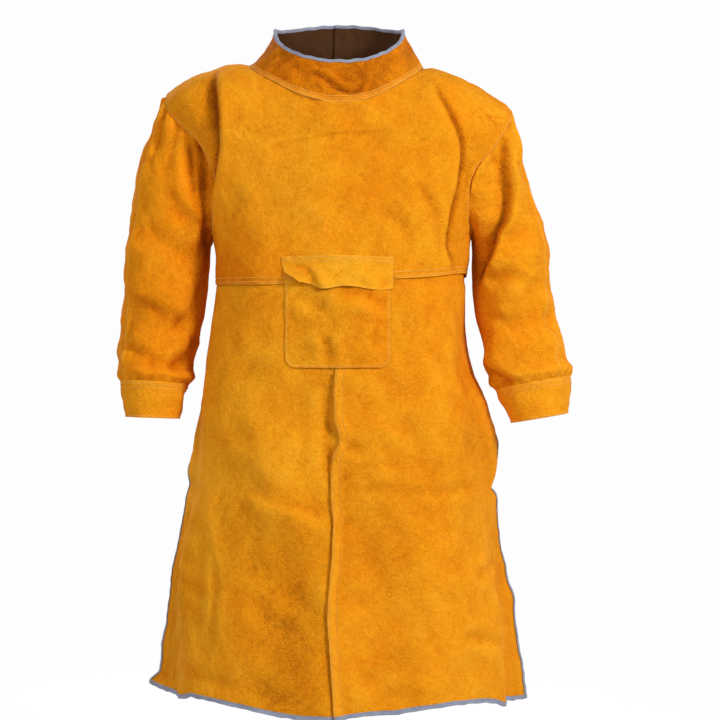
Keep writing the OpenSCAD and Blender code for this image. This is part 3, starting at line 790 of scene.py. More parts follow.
def bodice_grid(low, high, columns):
    upper = NECK + (SHOULDER - NECK) * np.linspace(0, 1, 36)[:-1]
    hole = CHEST - np.cos(np.linspace(0.02, math.pi - 0.02, 64))
    lower = ARMPIT + np.concatenate([np.linspace(0.01, 0.92, 20), [0.945, 0.965, 0.98, 0.99, 1.0]])
    t = np.concatenate([upper, hole, lower])
    phi = spread(low(t), high(t), columns)
    end = t_at(waist_seam(phi))
    below = ARMPIT + (end - ARMPIT) * np.clip(t - ARMPIT, 0, 1)[:, None]
    return phi, np.where(t[:, None] > ARMPIT, below, t[:, None])


def bag(phi, x, above):
    """How far the bodice stands off at a height above its lower edge. It lies flat behind the pocket and its
    flap."""
    full = 0.0042 + 0.0018 * np.sin(np.radians(phi * 5) + 0.5)
    off = 0.0024 * ease(0.075, 0.025, above) + full * bump(above, 0.026, 0.018)
    off = off + 0.0008 * ease(0.003, 0.0, above)
    return off * ease(0.097, 0.140, np.abs(x - POCKET_X))


def bodice_lift(phi, t):
    """The bodice bags out over its lower edge, which lies on the skirt, and is tucked in at the armholes."""
    p = body_point(phi, t)
    lift = bag(phi, p[..., 0], p[..., 2] - waist_seam(phi)) * (1 - 0.4 * np.abs(np.sin(np.radians(phi))))
    gap = np.abs(np.abs(phi) - 90) - armhole_half(t)
    tuck = -0.0022 * ease(0.2, -2.0, gap) + 0.0008 * bump(gap, 2.4, 1.6)
    near = ((t > SHOULDER) & (t < ARMPIT)) * ease(0.12, 0.3, armhole_half(t) / ARMHOLE_ANGLE)
    return lift + tuck * near


def front_tone(phi, t):
    p = body_point(phi, t)
    x, z = p[..., 0], p[..., 2]
    tone = 0.10 * ease(0.004, -0.004, x) * ease(-0.100, -0.108, z - 0.05 * x) - 0.02
    rough = ease(-0.235, -0.330, z) * ease(-0.03, -0.14, x)
    tone = tone - 0.17 * rough + 0.04 * ease(0.02, 0.10, x) * ease(-0.2, -0.3, z)
    return tone + shadow(x, z, FRONT_SHADE) * ease(0.0, 0.3, np.cos(np.radians(phi)))


def bodice_front():
    phi, t = bodice_grid(lambda v: armhole_edge(v) - 90, lambda v: 90 - armhole_edge(v), ticks(0.60, 0.0042))
    outer = coat_point(phi, t, bodice_lift(phi, t))
    x, z = body_point(phi, t)[..., 0], body_point(phi, t)[..., 2]
    hue = -0.1 + 0.25 * ease(0.02, -0.05, x) - 0.8 * ease(-0.215, -0.310, z) * ease(-0.03, -0.14, x)
    obj = sheet_piece("bodice_front_hide", outer, SUEDE, 1, tone=front_tone(phi, t), hue=hue)
    place(obj, "coat", "suede", "bodice_front")


def back_panel(side, seed):
    name = side_name(side)
    phi, t = bodice_grid(lambda v: 90 + armhole_edge(v), back_edge, ticks(0.28))
    phi = phi * side
    outer = coat_point(phi, t, bodice_lift(phi, t))
    shown = outer if side > 0 else outer[:, ::-1]
    place(sheet_piece(f"back_{name}_hide", shown, SUEDE, seed, tone=-0.03), "coat", "suede", f"back_{name}")
    return outer


def skirt_offset(t, side, from_seam):
    tuck = -0.0022 * ease(WAIST + 0.06, WAIST - 0.02, t)
    if side > 0:
        lap = 0.0032 * ease(0.0205, 0.0145, from_seam) + 0.0014 * bump(from_seam, 0.0035, 0.004)
        lap = (lap - 0.0012 * bump(from_seam, 0.0185, 0.0026)) * ease(-0.500, -0.514, ring_at(t)[..., 4])
    else:
        lap = -0.0006 * ease(0.014, 0.0, from_seam) - 0.0016 * bump(from_seam, 0.002, 0.010)
    return tuck + lap


def skirt_tone(phi, t, side):
    p = body_point(phi, t)
    x, z = p[..., 0], p[..., 2]
    if side > 0:
        band = 0.08 * ease(0.020, 0.012, x - seam_x(z)) * ease(0.3, 0.1, x)
        return 0.02 + band + 0.05 * ease(-0.8, -1.0, z) - 0.05 * ease(0.14, 0.20, x) * ease(-0.8, -0.6, z)
    worn = 0.13 * bump(x, -0.238, 0.022) * ease(-0.55, -0.75, z)
    dark = 0.12 * ease(-0.70, -0.95, z) * bump(x, -0.06, 0.09)
    dark = dark + 0.08 * ease(-0.716, -0.74, z) * bump(x, -0.12, 0.10)
    return worn - 0.01 - dark + 0.07 * bump(z, -0.68, 0.07)


def skirt_panel(side, seed):
    name = side_name(side)
    top = float(t_at(-0.332))
    t = top + (HEM - top) * ticks(-0.332 - HEM_Z)
    z = ring_at(t)[:, 4]
    start = phi_at(seam_x(z) + (0.0 if side > 0 else SEAM_LAP), t)
    phi = spread(start, back_edge(t) * side, ticks(0.46))
    tt = np.broadcast_to(t[:, None], phi.shape)
    from_seam = np.abs(body_point(phi, tt)[..., 0] - seam_x(z)[:, None])
    from_seam = np.where(np.abs(phi) > 60, 1.0, from_seam)
    outer = coat_point(phi, tt, skirt_offset(tt, side, from_seam))
    shown = outer if side > 0 else outer[:, ::-1]
    tone = skirt_tone(phi, tt, side)
    obj = sheet_piece(f"skirt_{name}_hide", shown, SUEDE, seed, tone=tone if side > 0 else tone[:, ::-1],
                      hue=-0.15 if side > 0 else 0.35)
    place(obj, "coat", "suede", f"skirt_{name}")
    return outer


def on_coat(phi, t, off):
    """Points and outward directions of a line that lies on the coat."""
    phi, t = np.broadcast_arrays(np.asarray(phi, float), np.asarray(t, float))
    return coat_point(phi, t, np.broadcast_to(off, phi.shape)), body_normal(phi, t)


def coat_stitches():
    rows = []
    for above in (0.0045, 0.0115):       # waist seam
        phi = np.linspace(-148, 148, 500)
        t = t_at(waist_seam(phi) + above)
        rows.append(on_coat(phi, t, bodice_lift(phi, t) + 0.0002))
    for inset in (0.0035, 0.0150):       # middle seam
        t = np.linspace(WAIST + 0.05, HEM - 0.02, 500)
        x = seam_x(ring_at(t)[:, 4]) + inset
        rows.append(on_coat(phi_at(x, t), t, skirt_offset(t, 1, np.full(t.shape, inset)) + 0.0002))
    for side in (-1, 1):                 # shoulder and side seams, and round each armhole
        t = np.linspace(NECK + 0.06, SHOULDER - 0.01, 120)
        for turn in (-1.3, 1.1):
            rows.append(on_coat(np.full(t.shape, side * 90.0 + turn), t, 0.0002))
        t = np.linspace(ARMPIT + 0.02, WAIST - 0.12, 90)
        rows.append(on_coat(np.full(t.shape, side * 89.0), t, 0.0002))
        t = CHEST - 0.985 * np.cos(np.linspace(0.05, math.pi - 0.05, 200))
        for sign in (-1, 1):
            phi = side * (90 + sign * (armhole_half(t) + 1.5))
            rows.append(on_coat(phi, t, bodice_lift(phi, t) + 0.0001))
    place(stitches("coat_stitches", rows, THREAD), "coat", "suede")


def edge_bindings(backs, skirts):
    for side, back, skirt in ((-1, backs[0], skirts[0]), (1, backs[1], skirts[1])):
        name = side_name(side)
        line = np.concatenate([back[6:, -1], skirt[9:, -1]])
        near = np.concatenate([back[6:, -4], skirt[9:, -4]])
        inward = unit(near - line)
        down = unit(np.gradient(line, axis=0))
        out = unit(np.cross(down, -inward * side))
        obj = binding_piece(f"edge_binding_{name}_tape", line, inward, out, BINDING, 20 + side)
        place(obj, "coat", "binding", f"edge_binding_{name}")
        rows = [(line + inward * 0.0062 + out * 0.0016, out)]
        place(stitches(f"edge_binding_{name}_stitches", rows, THREAD_GREY), "coat", "binding")
    line = np.concatenate([skirts[0][-1][::-1], skirts[1][-1]])
    near = np.concatenate([skirts[0][-5][::-1], skirts[1][-5]])
    inward = unit(near - line)
    out = unit(np.cross(-inward, unit(np.gradient(line, axis=0))))
    obj = binding_piece("hem_binding_tape", line, inward, out, BINDING, 30)
    place(obj, "coat", "binding", "hem_binding")
    rows = [(line + inward * 0.0062 + out * 0.0016, out)]
    place(stitches("hem_binding_stitches", rows, THREAD_GREY), "coat", "binding")


# ---------------------------------------------------------------- collar
COLLAR_FOLDS = [
    ([(-62, 6), (-30, -8), (0, -28), (26, -32), (45, -16)], 6, 3.4, "crease"),
    ([(-110, 40), (-75, 10), (-50, -20)], 10, 2.6, "crease"),
    ([(100, 40), (80, 5), (50, -20)], 12, 2.6, "crease"),
    ([(-55, -38), (0, -50), (60, -40)], 6, 1.2, "crease"),
]


def collar_offset(phi, t):
    p = body_point(phi, t)
    h = folds(p[..., 0], p[..., 2], COLLAR_FOLDS) * ease(0.1, 0.5, np.cos(np.radians(phi)))
    h = h + 0.0014 * ripple(p, 0.075, 41) * np.sin(np.pi * np.clip(t, 0, 1)) + 0.0004 * ripple(p, 0.022, 42)
    return h + 0.0019 * ease(0.85, 0.99, t)


def collar_point(phi, t, off=0.0):
    under = -0.0043 * ease(170.5, 175.5, phi)
    return settle(body_point(phi, t) + body_normal(phi, t) * (collar_offset(phi, t) + under + off)[..., None])


def collar():
    t = np.concatenate([np.linspace(0.005, 0.97, 26), [0.99, 1.0, 1.008, 1.018, 1.028]])
    phi = spread(np.full(t.shape, -COLLAR_END), np.full(t.shape, COLLAR_UNDER), ticks(0.86, 0.0042))
    tt = np.broadcast_to(t[:, None], phi.shape)
    outer = collar_point(phi, tt)
    shade = -0.25 + 0.22 * ease(0.80, 1.0, tt) - 0.06 * bump(tt, 0.35, 0.3)
    obj = sheet_piece("collar_outer_hide", outer, SUEDE, 5, tone=shade, hue=-0.5)
    place(obj, "coat", "suede", "collar_outer")
    lining = collar_point(phi[:27], tt[:27], -LEATHER - 0.0004)
    obj = sheet_piece("collar_lining_hide", lining, SUEDE_DARK, 6, thickness=0.0011)
    place(obj, "coat", "suede_dark", "collar_lining")
    line, near = outer[0], outer[2]
    inward = unit(near - line)
    out = body_normal(phi[0], tt[0])
    tape = binding_piece("collar_binding_tape", line, inward, out, BINDING, 33, width=0.0042,
                         core=LEATHER + 0.0012)
    place(tape, "coat", "binding", "collar_binding")
    rows = [(line + inward * 0.0034 + out * 0.0012, out)]
    place(stitches("collar_binding_stitches", rows, THREAD_GREY), "coat", "binding")
    rows = []
    for level in (0.875, 0.935, 1.010):
        a = np.linspace(-174, 169, 400)
        v = np.full(a.shape, level)
        rows.append((collar_point(a, v, 0.0002), body_normal(a, v)))
    place(stitches("collar_stitches", rows, THREAD), "coat", "suede")


def patch(name, low, high, t_low, t_high, off, thickness, material, seed):
    t = np.linspace(t_low, t_high, 16)
    phi = spread(np.full(t.shape, low), np.full(t.shape, high), np.linspace(0, 1, 26))
    tt = np.broadcast_to(t[:, None], phi.shape)
    outer = body_point(phi, tt) + body_normal(phi, tt) * off
    return sheet_piece(name, outer, material, seed, thickness=thickness)


def collar_closure():
    tab = patch("collar_tab_hide", 147, 191, 0.22, 0.8, 0.0054, LEATHER, SUEDE, 7)
    place(tab, "collar_tab", "suede", "collar_tab")
    hook = patch("collar_hook_tape", 150, 170, 0.3, 0.72, 0.0034, 0.0012, HOOK_TAPE, 8)
    place(hook, "collar_tab", "hook_tape", "collar_hook_patch")
    loop = patch("collar_loop_tape", 148, 175, 0.28, 0.74, 0.0020, 0.0012, LOOP_TAPE, 9)
    place(loop, "coat", "loop_tape", "collar_loop_patch")
    corners = [(149, 0.26), (188, 0.26), (188, 0.76), (149, 0.76), (149, 0.26)]
    line = np.concatenate([np.linspace(a, b, 30)[:-1] for a, b in zip(corners[:-1], corners[1:])])
    at = (body_point(line[:, 0], line[:, 1]) + body_normal(line[:, 0], line[:, 1]) * 0.0057,
          body_normal(line[:, 0], line[:, 1]))
    place(stitches("collar_tab_stitches", [at], THREAD), "collar_tab", "suede")


# ---------------------------------------------------------------- pocket
POCKET_X, POCKET_W, POCKET_H, POCKET_TOP = -0.006, 0.178, 0.150, -0.350
POCKET_R, POCKET_ROOM, FLAP_ROOM = 0.018, 0.008, 0.0042
FLAP_W, FLAP_H, FLAP_TOP = 0.190, 0.054, -0.313
POCKET_FOLDS = [
    ([(-28, -440), (-22, -470), (-24, -510)], 10, 4, "crease"),
    ([(50, -478), (58, -440), (66, -415)], 5, 1.6, "crease"),
    ([(-85, -372), (-50, -390), (-18, -398)], 12, 2.6, "valley"),
    ([(20, -405), (45, -420), (84, -428)], 6, 1.2, "crease"),
]
FLAP_FOLDS = [
    ([(-92, -318), (-66, -335), (-48, -352), (-52, -372)], 8, 6, "valley"),
    ([(-60, -322), (-38, -340), (-30, -368)], 10, 4.2, "ridge"),
    ([(-45, -331), (0, -325), (45, -322), (86, -318)], 5, -1.6, "step"),
    ([(-20, -352), (20, -338), (40, -334)], 7, 2.2, "crease"),
]


def on_front(x, z, off):
    """Points at a height off above the coat's front, and its outward directions."""
    t = t_at(z)
    phi = phi_at(x, t)
    above = z - waist_seam(phi)
    cover = bag(phi, x, np.maximum(above, 0)) * ease(-0.040, 0.004, above)
    return coat_point(phi, t, off + cover), body_normal(phi, t)


def pocket_half(z):
    d = np.clip(POCKET_R - (z - POCKET_TOP + POCKET_H), 0, POCKET_R)
    return POCKET_W / 2 - POCKET_R + np.sqrt(POCKET_R ** 2 - d ** 2)


def pocket_lift(x, z):
    u = np.clip(np.abs(x - POCKET_X) * 2 / POCKET_W, 0, 1)
    v = np.clip((POCKET_TOP - z) / POCKET_H, 0, 1)
    inside = (1 - u ** 2.4) * (1 - v ** 2.2) * (0.45 + 0.55 * ease(0.02, 0.30, v))
    wrinkles = 0.0011 * ripple(np.stack([x, z], -1), 0.050, 51) + folds(x, z, POCKET_FOLDS)
    return 0.0020 + POCKET_ROOM * inside + wrinkles * ease(0, 0.25, inside)


def pocket_pouch():
    z = POCKET_TOP - POCKET_H * np.sin(np.linspace(0, math.pi / 2, 44))
    z[-1] += 0.0002
    u = ticks(POCKET_W, 0.004) * 2 - 1
    x = POCKET_X + pocket_half(z)[:, None] * u[None, :]
    zz = np.broadcast_to(z[:, None], x.shape)
    outer, _ = on_front(x, zz, pocket_lift(x, zz))
    tone = -0.02 + 0.06 * ease(-0.02, 0.05, x) - 0.05 * bump(x, -0.04, 0.03) * bump(zz, -0.42, 0.04)
    obj = sheet_piece("pocket_pouch_hide", outer, SUEDE, 10, tone=tone + shadow(x, zz, POCKET_SHADE),
                      hue=ease(0.03, -0.05, x) * 0.9 - 0.3)
    place(obj, "coat", "suede", "pocket_pouch")
    rows = []
    inset = 0.0032
    down = np.linspace(POCKET_TOP - 0.006, POCKET_TOP - POCKET_H + POCKET_R, 60)
    a = np.linspace(0, math.pi / 2, 24)
    r = POCKET_R - inset
    cx, cz = POCKET_W / 2 - POCKET_R, POCKET_TOP - POCKET_H + POCKET_R
    xs = np.concatenate([np.full(60, POCKET_W / 2 - inset), cx + r * np.cos(a), [0]])
    zs = np.concatenate([down, cz - r * np.sin(a), [cz - r]])
    x = POCKET_X + np.concatenate([-xs, xs[::-1][1:]])
    z = np.concatenate([zs, zs[::-1][1:]])
    fine = resample(np.stack([x, z], -1), 0.002)
    rows.append(on_front(fine[:, 0], fine[:, 1], pocket_lift(fine[:, 0], fine[:, 1]) + 0.0002))
    place(stitches("pocket_stitches", rows, THREAD), "coat", "suede")


def flap_lift(x, v):
    x, v = np.broadcast_arrays(x, v)
    u = np.clip((x - POCKET_X) * 2 / FLAP_W, -1, 1)
    lift = 0.0020 + ease(0.30, 0.84, v) * (0.0034 + FLAP_ROOM * (1 - u ** 2))
    wave = 0.0013 * ripple(np.stack([x, v * 0.05], -1), 0.040, 61) * ease(0.3, 0.8, v)
    creases = folds(x, FLAP_TOP - v * FLAP_H, FLAP_FOLDS) * ease(0.22, 0.50, v)
    curl = 0.0120 * bump(u, -0.80, 0.20) * ease(0.40, 1.0, v)
    curl = curl + 0.0060 * bump(u, -0.40, 0.14) * ease(0.6, 1.0, v)
    return lift + wave + creases + curl


def flap_shape(u, v):
    """(x, z) of a flap point. Its lower left corner is rounded off, and its lower edge is wavy."""
    corner = 0.005 * ease(0.20, 0.60, v) + 0.026 * ease(0.55, 1.0, v)
    x = POCKET_X + np.where(u < 0, u * (FLAP_W / 2 - corner), u * (FLAP_W / 2 - 0.002 * v))
    edge = 0.0022 * np.sin(u * 6.0 + 0.4) + 0.0050 * bump(u, -0.66, 0.16) + 0.010 * bump(u, -1.0, 0.22)
    return x, FLAP_TOP + 0.0035 * bump(u, 0.0, 0.7) - v * (FLAP_H - edge)


def flap_points(u, v, off=0.0):
    """Points of the flap and its outward directions."""
    x, z = flap_shape(u, v)
    return on_front(x, z, flap_lift(x, v) + off)


def flap_bend(obj):
    """Bakes the piece's transform into its mesh."""
    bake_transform(obj)
    return obj


def pocket_flap():
    vv, uu = np.meshgrid(ticks(FLAP_H, 0.0025), ticks(FLAP_W, 0.0032) * 2 - 1, indexing="ij")
    outer, _ = flap_points(uu, vv)
    # painted shade darkens the flap in its crease beside the curled left corner
    tone = 0.10 + 0.08 * ease(0.6, 1.0, vv) - 0.16 * bump(uu, -0.60, 0.16) * ease(0.3, 0.8, vv)
    obj = sheet_piece("pocket_flap_hide", outer, SUEDE, 12, tone=tone, hue=0.45)
    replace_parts(flap_bend(obj), "pocket_flap")
    rows = []
    for v in (0.06, 0.17):
        rows.append(flap_points(np.linspace(-0.97, 0.97, 160), np.full(160, v), 0.0002))
    flap_bend(stitches("pocket_flap_stitches", rows, THREAD))


# ---------------------------------------------------------------- sleeves
# Middle x, y, z, half width and half depth of each station in millimetres, drawn on the +X side
ARMS = {
    "left": [
        (308, 4, -300, 73, 72), (318, 8, -391, 74, 74), (327, -6, -472, 67, 70), (332, -24, -540, 59, 62),
         (334, -42, -597, 46, 52)],
    "right": [
        (298, 4, -300, 66, 70), (306, 6, -391, 70, 73), (325, -8, -472, 68, 70), (339, -26, -540, 66, 62),
         (349, -44, -597, 50, 52)],
}
OUTER_SEAM = {"left": (30.0, 36.0), "right": (18.0, 54.0)}
SLEEVE_END = 5
CAP_BULGE = {"left": np.array([0.015, 0, 0.008]), "right": np.array([-0.002, 0, 0.002])}
TILT = (1, 1, 0.85, 0.5, 0.3)      # how far each ring leans with the arm
SIDE = {"left": -1, "right": 1}
CUFF_THICK = 0.0026       # two layers of hide
STEP = 1.25               # degrees between the sleeve's lengthwise mesh lines


def arm_rings(arm, s):
    """The sleeve's seven rings at the angles s: 0 is outside, 90 in front, 180 inside."""
    c, f = np.cos(np.radians(s))[:, None], np.sin(np.radians(s))[:, None]
    stations = np.array(ARMS[arm]) * MM
    side = SIDE[arm]
    hole = coat_point(side * (90 - ARMHOLE_ANGLE * f[:, 0]), CHEST - c[:, 0], -0.0006) * [side, 1, 1]
    rings = []
    for k, m in enumerate(stations):
        way = unit(stations[min(k + 1, 4), :3] - stations[max(k - 1, 0), :3])
        front = unit(np.cross(way, [1.0, 0, 0]) * [1, 1, TILT[k]])
        rings.append(m[:3] + np.cross(front, way) * m[3] * c + front * m[4] * f)
    middle = (hole + rings[0]) / 2 + CAP_BULGE[arm] * np.clip(c, 0, 1)
    return np.array([hole, middle] + rings)


def sleeve_base(arm, s, k):
    """Points of the smooth sleeve for angles s and ring values k, on its own side."""
    p = along(arm_rings(arm, s), k)
    return p * [SIDE[arm], 1, 1]


def sleeve_height(arm, s, k, p, n):
    """How far the sleeve's leather stands off its smooth shape."""
    ss, kk = np.broadcast_arrays(s[None, :], k[:, None])
    x, z = p[..., 0], p[..., 2]
    outside, front = np.cos(np.radians(ss)), np.sin(np.radians(ss))
    h = folds(x, z, SLEEVE_FOLDS[arm]) * ease(-0.05, 0.5, -n[..., 1])
    seed = 70 if arm == "left" else 80
    h = h + 0.0020 * ripple(p * [1, 1, 0.6], 0.115, seed) + 0.0009 * ripple(p, 0.040, seed + 1)
    h = h + 0.00030 * ripple(p, 0.016, seed + 2)
    # the cap is gathered into the armhole and stands up beside the seam
    h = h + (0.0028 if arm == "left" else 0.0012) * bump(kk, 0.20, 0.16) * ease(-0.8, 0.3, outside)
    for angle, lean, height, reach in PLEATS[arm]:
        d = ((ss - angle - lean * kk + 180) % 360 - 180) / 6.0
        h = h + height * (bump(d, 0, 1) - 0.9 * bump(d, 1.5, 0.6)) * ease(reach, 0.0, kk)
    # rings of slack leather over the forearm, deepest behind and inside the elbow
    slack = ease(2.4, 3.6, kk) * (0.45 + 0.55 * bump(outside, -0.6, 0.8))
    wander = ripple(np.stack([front, outside, kk * 0.4], -1), 3.0, seed + 3)
    behind = ease(0.3, -0.5, front)
    h = h + 0.0068 * np.sin(kk * 8.3 + wander * 1.6) * slack * (0.16 + 0.84 * behind)
    h = h * (1 - 0.6 * ease(0.6, 1.0, -outside) * ease(1.0, 1.6, kk) * ease(4.2, 3.4, kk))
    if arm == "right":
        h = h + 0.0120 * bump(kk, 4.35, 0.30) * ease(0.4, 1.0, -outside)
    # the sleeve bags over the cuff and is gathered into it
    h = h * ease(5.0, 4.80, kk)
    full = 0.80 + 0.30 * ripple(np.stack([front, outside], -1), 2.2, seed + 4)
    h = h + 0.0085 * bump(kk, 4.74, 0.15) * full
    h = h + 0.0016 * np.sin(np.radians(ss * 19) + wander) * bump(kk, 4.90, 0.09) - 0.0006 * ease(4.9, 5.0, kk)
    return h * ease(-0.01, 0.07, kk) + 0.0012 * ease(0.0, 0.03, kk) * ease(0.3, 0.1, kk)


def sleeve_surface(arm, s, k, off=0.0):
    base = sleeve_base(arm, s, k)
    n = sleeve_normals(base, arm)
    return base + n * (sleeve_height(arm, s, k, base, n) + off)[..., None], n


def sleeve_normals(p, arm):
    return grid_normals(p, False) * (-1 if arm == "right" else 1)


def sleeve_bend(obj, arm, slot, *nodes):
    """Bakes a sleeve piece's transform into its mesh and hides the CAD parts that it stands for."""
    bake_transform(obj)
    if nodes:
        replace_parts(obj, *nodes)


def seam_angle(arm, k):
    a, b = OUTER_SEAM[arm]
    return a + (b - a) * np.asarray(k) / SLEEVE_END


def sleeve(arm, seed):
    k = np.concatenate([np.linspace(0, 0.9, 40)[:-1], np.linspace(0.9, 4.9, 110),
                        [4.93, 4.96, 4.98, 5.0, 5.03]])
    s = np.arange(0, 360 + STEP, STEP)
    surface, normal = sleeve_surface(arm, s, k)
    right = arm == "right"
    for half in ("front", "back"):
        # each row starts and ends on the two seams, so the columns are read between them
        first = seam_angle(arm, k) if half == "front" else np.full(k.shape, 180.0)
        last = np.full(k.shape, 180.0) if half == "front" else 360 + seam_angle(arm, k)
        share = ticks(0.21 if half == "front" else 0.25, 0.0032)
        angles = first[:, None] + (last - first)[:, None] * share[None, :]
        at = (angles % 360) / STEP
        i = np.floor(at).astype(int)
        f = (at - i)[..., None]
        row = np.arange(len(k))[:, None]
        j = (i + 1) % (len(s) - 1)
        points = surface[row, i] * (1 - f) + surface[row, j] * f
        out = unit(normal[row, i] * (1 - f) + normal[row, j] * f)
        reach = np.minimum(share, 1 - share) * (0.21 if half == "front" else 0.25)
        ridge = 0.0019 * bump(reach, 0.004, 0.005) if half == "front" else -0.0006 * bump(reach, 0.0, 0.006)
        points = points + out * ridge[None, :, None]
        # painted shade darkens the sleeve's inner side, which faces the body, and the front half also gets
        # painted shade beside its folds
        inner_side = ease(0.35, 1.0, np.cos(np.radians(angles - 180))) * ease(0.4, 1.2, k)[:, None]
        shade = (0.03 if right else -0.01) - 0.13 * inner_side
        if half == "front":
            folds = shadow(points[..., 0], points[..., 2], SLEEVE_SHADE[arm])
            shade = shade + folds * ease(0.0, 0.3, -out[..., 1])
        shown, tone = (points[:, ::-1], shade[:, ::-1]) if right else (points, shade)
        obj = sheet_piece(f"sleeve_{arm}_{half}_hide", shown, SUEDE, seed + (half == "back"), tone=tone,
                          hue=-0.1 if right else -0.45)
        sleeve_bend(obj, arm, "suede", f"sleeve_{arm}_{half}")
    rows = []
    inside = (k > 0.05) & (k < 4.97)
    turn = 2.2            # degrees from the sleeve's seam to its top stitch
    at = (seam_angle(arm, k) + turn) / STEP
    i = np.floor(at).astype(int)
    f = (at - i)[:, None]
    row = np.arange(len(k))
    line = surface[row, i] * (1 - f) + surface[row, i + 1] * f
    rows.append((line[inside] + normal[row, i][inside] * 0.0015, normal[row, i][inside]))
    sleeve_bend(stitches(f"sleeve_{arm}_stitches", rows, THREAD), arm, "suede")
    cuff(arm, seed + 2)


def cuff(arm, seed):
    k = np.concatenate([[4.955, 4.96, 4.97], np.linspace(5.0, 5.985, 24), [5.993, 5.998, 6.0]])
    s = np.arange(0, 360, 3.0)
    wide = np.concatenate([[s[-1] - 360], s, [360]])
    base = sleeve_base(arm, wide, k)
    n = sleeve_normals(base, arm)[:, 1:-1]
    p = base[:, 1:-1]
    ss, kk = np.broadcast_arrays(s[None, :], k[:, None])
    h = 0.0013 + 0.0011 * ripple(p, 0.050, seed) * ease(5.02, 5.2, kk) + 0.0012 * bump(kk, 5.95, 0.06)
    h = h + 0.0010 * np.sin(kk * 9 + ss * 0.03) * bump(kk, 5.4, 0.3) - 0.0012 * ease(5.99, 6.0, kk)
    outer = p + n * h[..., None]
    rows = []
    for level in (5.045, 5.14, 5.90):
        i = int(np.argmin(np.abs(k - level)))
        loop = np.concatenate([outer[i], outer[i][:1]])
        rows.append((loop + np.concatenate([n[i], n[i][:1]]) * 0.0002, np.concatenate([n[i], n[i][:1]])))
    shown = outer[:, ::-1] if arm == "right" else outer
    obj = sheet_piece(f"cuff_{arm}_hide", shown, SUEDE, seed, thickness=CUFF_THICK,
                      tone=0.09 if arm == "right" else 0.05, closed=True)
    place(obj, f"{arm}_sleeve", "suede", f"cuff_{arm}")
    place(stitches(f"cuff_{arm}_stitches", rows, THREAD), f"{arm}_sleeve", "suede")


# ---------------------------------------------------------------- waist strap and buckle
STRAP_Z = -0.392
STRAP_W, STRAP_T = 0.025, 0.0015
STRAP_RING = float(t_at(STRAP_Z))
STRAP_EDGE = float(back_edge(np.array(STRAP_RING)))
ANCHOR_FROM, ANCHOR_TO = STRAP_EDGE - 17, STRAP_EDGE - 5


def band_piece(name, path, material, seed):
    """Flat webbing that stands on edge and follows a line of (x, y) points."""
    path = smooth_line(path, 5)
    way = unit(np.gradient(path, axis=0))
    side = np.stack([-way[:, 1], way[:, 0]], -1)
    half = np.array([(-1, 0.35), (-0.94, 0.9), (-0.8, 1), (-0.4, 1), (0, 1), (0.4, 1), (0.8, 1),
                     (0.94, 0.9), (1, 0.35)])
    outline = np.concatenate([half, half[::-1] * [1, -1]])
    z = STRAP_Z + outline[:, 0] * STRAP_W / 2
    off = outline[:, 1] * STRAP_T / 2
    points = np.zeros((len(path), len(outline), 3))
    points[..., :2] = path[:, None] + side[:, None] * off[None, :, None]
    points[..., 2] = z[None, :]
    m = len(outline)
    faces = grid_faces(len(path), m, True)
    faces.append(list(range(m))[::-1])
    faces.append([(len(path) - 1) * m + k for k in range(m)])
    obj = new_object(name, points, faces, material, 60.0)
    return tape_place(obj, arc(path, 0)[:, None], z[None], seed)


def strap_lead(side, phis, lift):
    strap_ring = np.full(len(phis), STRAP_RING)
    p = body_point(phis, strap_ring) + body_normal(phis, strap_ring) * lift
    return [(side * x, y) for x, y, _ in p]


def waist_straps():
    low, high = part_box("buckle_socket")
    plug_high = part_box("buckle_plug")[1]
    middle_y = (low[1] + high[1]) / 2
    wrap = 0.0023
    lift = 0.0012 + LEATHER + STRAP_T / 2 + 0.0004
    phis = np.arange(ANCHOR_FROM + 1, ANCHOR_TO + 1.5, 4.0)
    for side in (-1, 1):
        name = side_name(side)
        lead = strap_lead(side, phis, lift) + strap_lead(side, np.array([STRAP_EDGE]), lift + 0.0012)
        turn = -0.0272 if side < 0 else plug_high[0] - 0.0031
        near = -0.056 if side < 0 else 0.024
        path = lead + [(near, middle_y + wrap), ((near + turn) / 2, middle_y + wrap), (turn, middle_y + wrap)]
        open_way = 1 if side < 0 else -1
        arcs = np.linspace(70, -70, 7)
        path += [(turn + open_way * wrap * math.cos(math.radians(a)), middle_y + wrap * math.sin(math.radians(a)))
                 for a in arcs]
        path += [(turn, middle_y - wrap)]
        path += [(-0.040, middle_y - wrap), (-0.052, middle_y - wrap + 0.0003)] if side < 0 else \
                [(0.024, middle_y - wrap), (0.042, middle_y - wrap - 0.0002), (0.058, middle_y - wrap - 0.0006)]
        obj = band_piece(f"waist_strap_{name}_webbing", path, WEBBING, 90 + side)
        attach(obj, "coat")
        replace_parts(obj, f"waist_strap_{name}")
        if side > 0:
            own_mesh(obj)
        anchor(side)


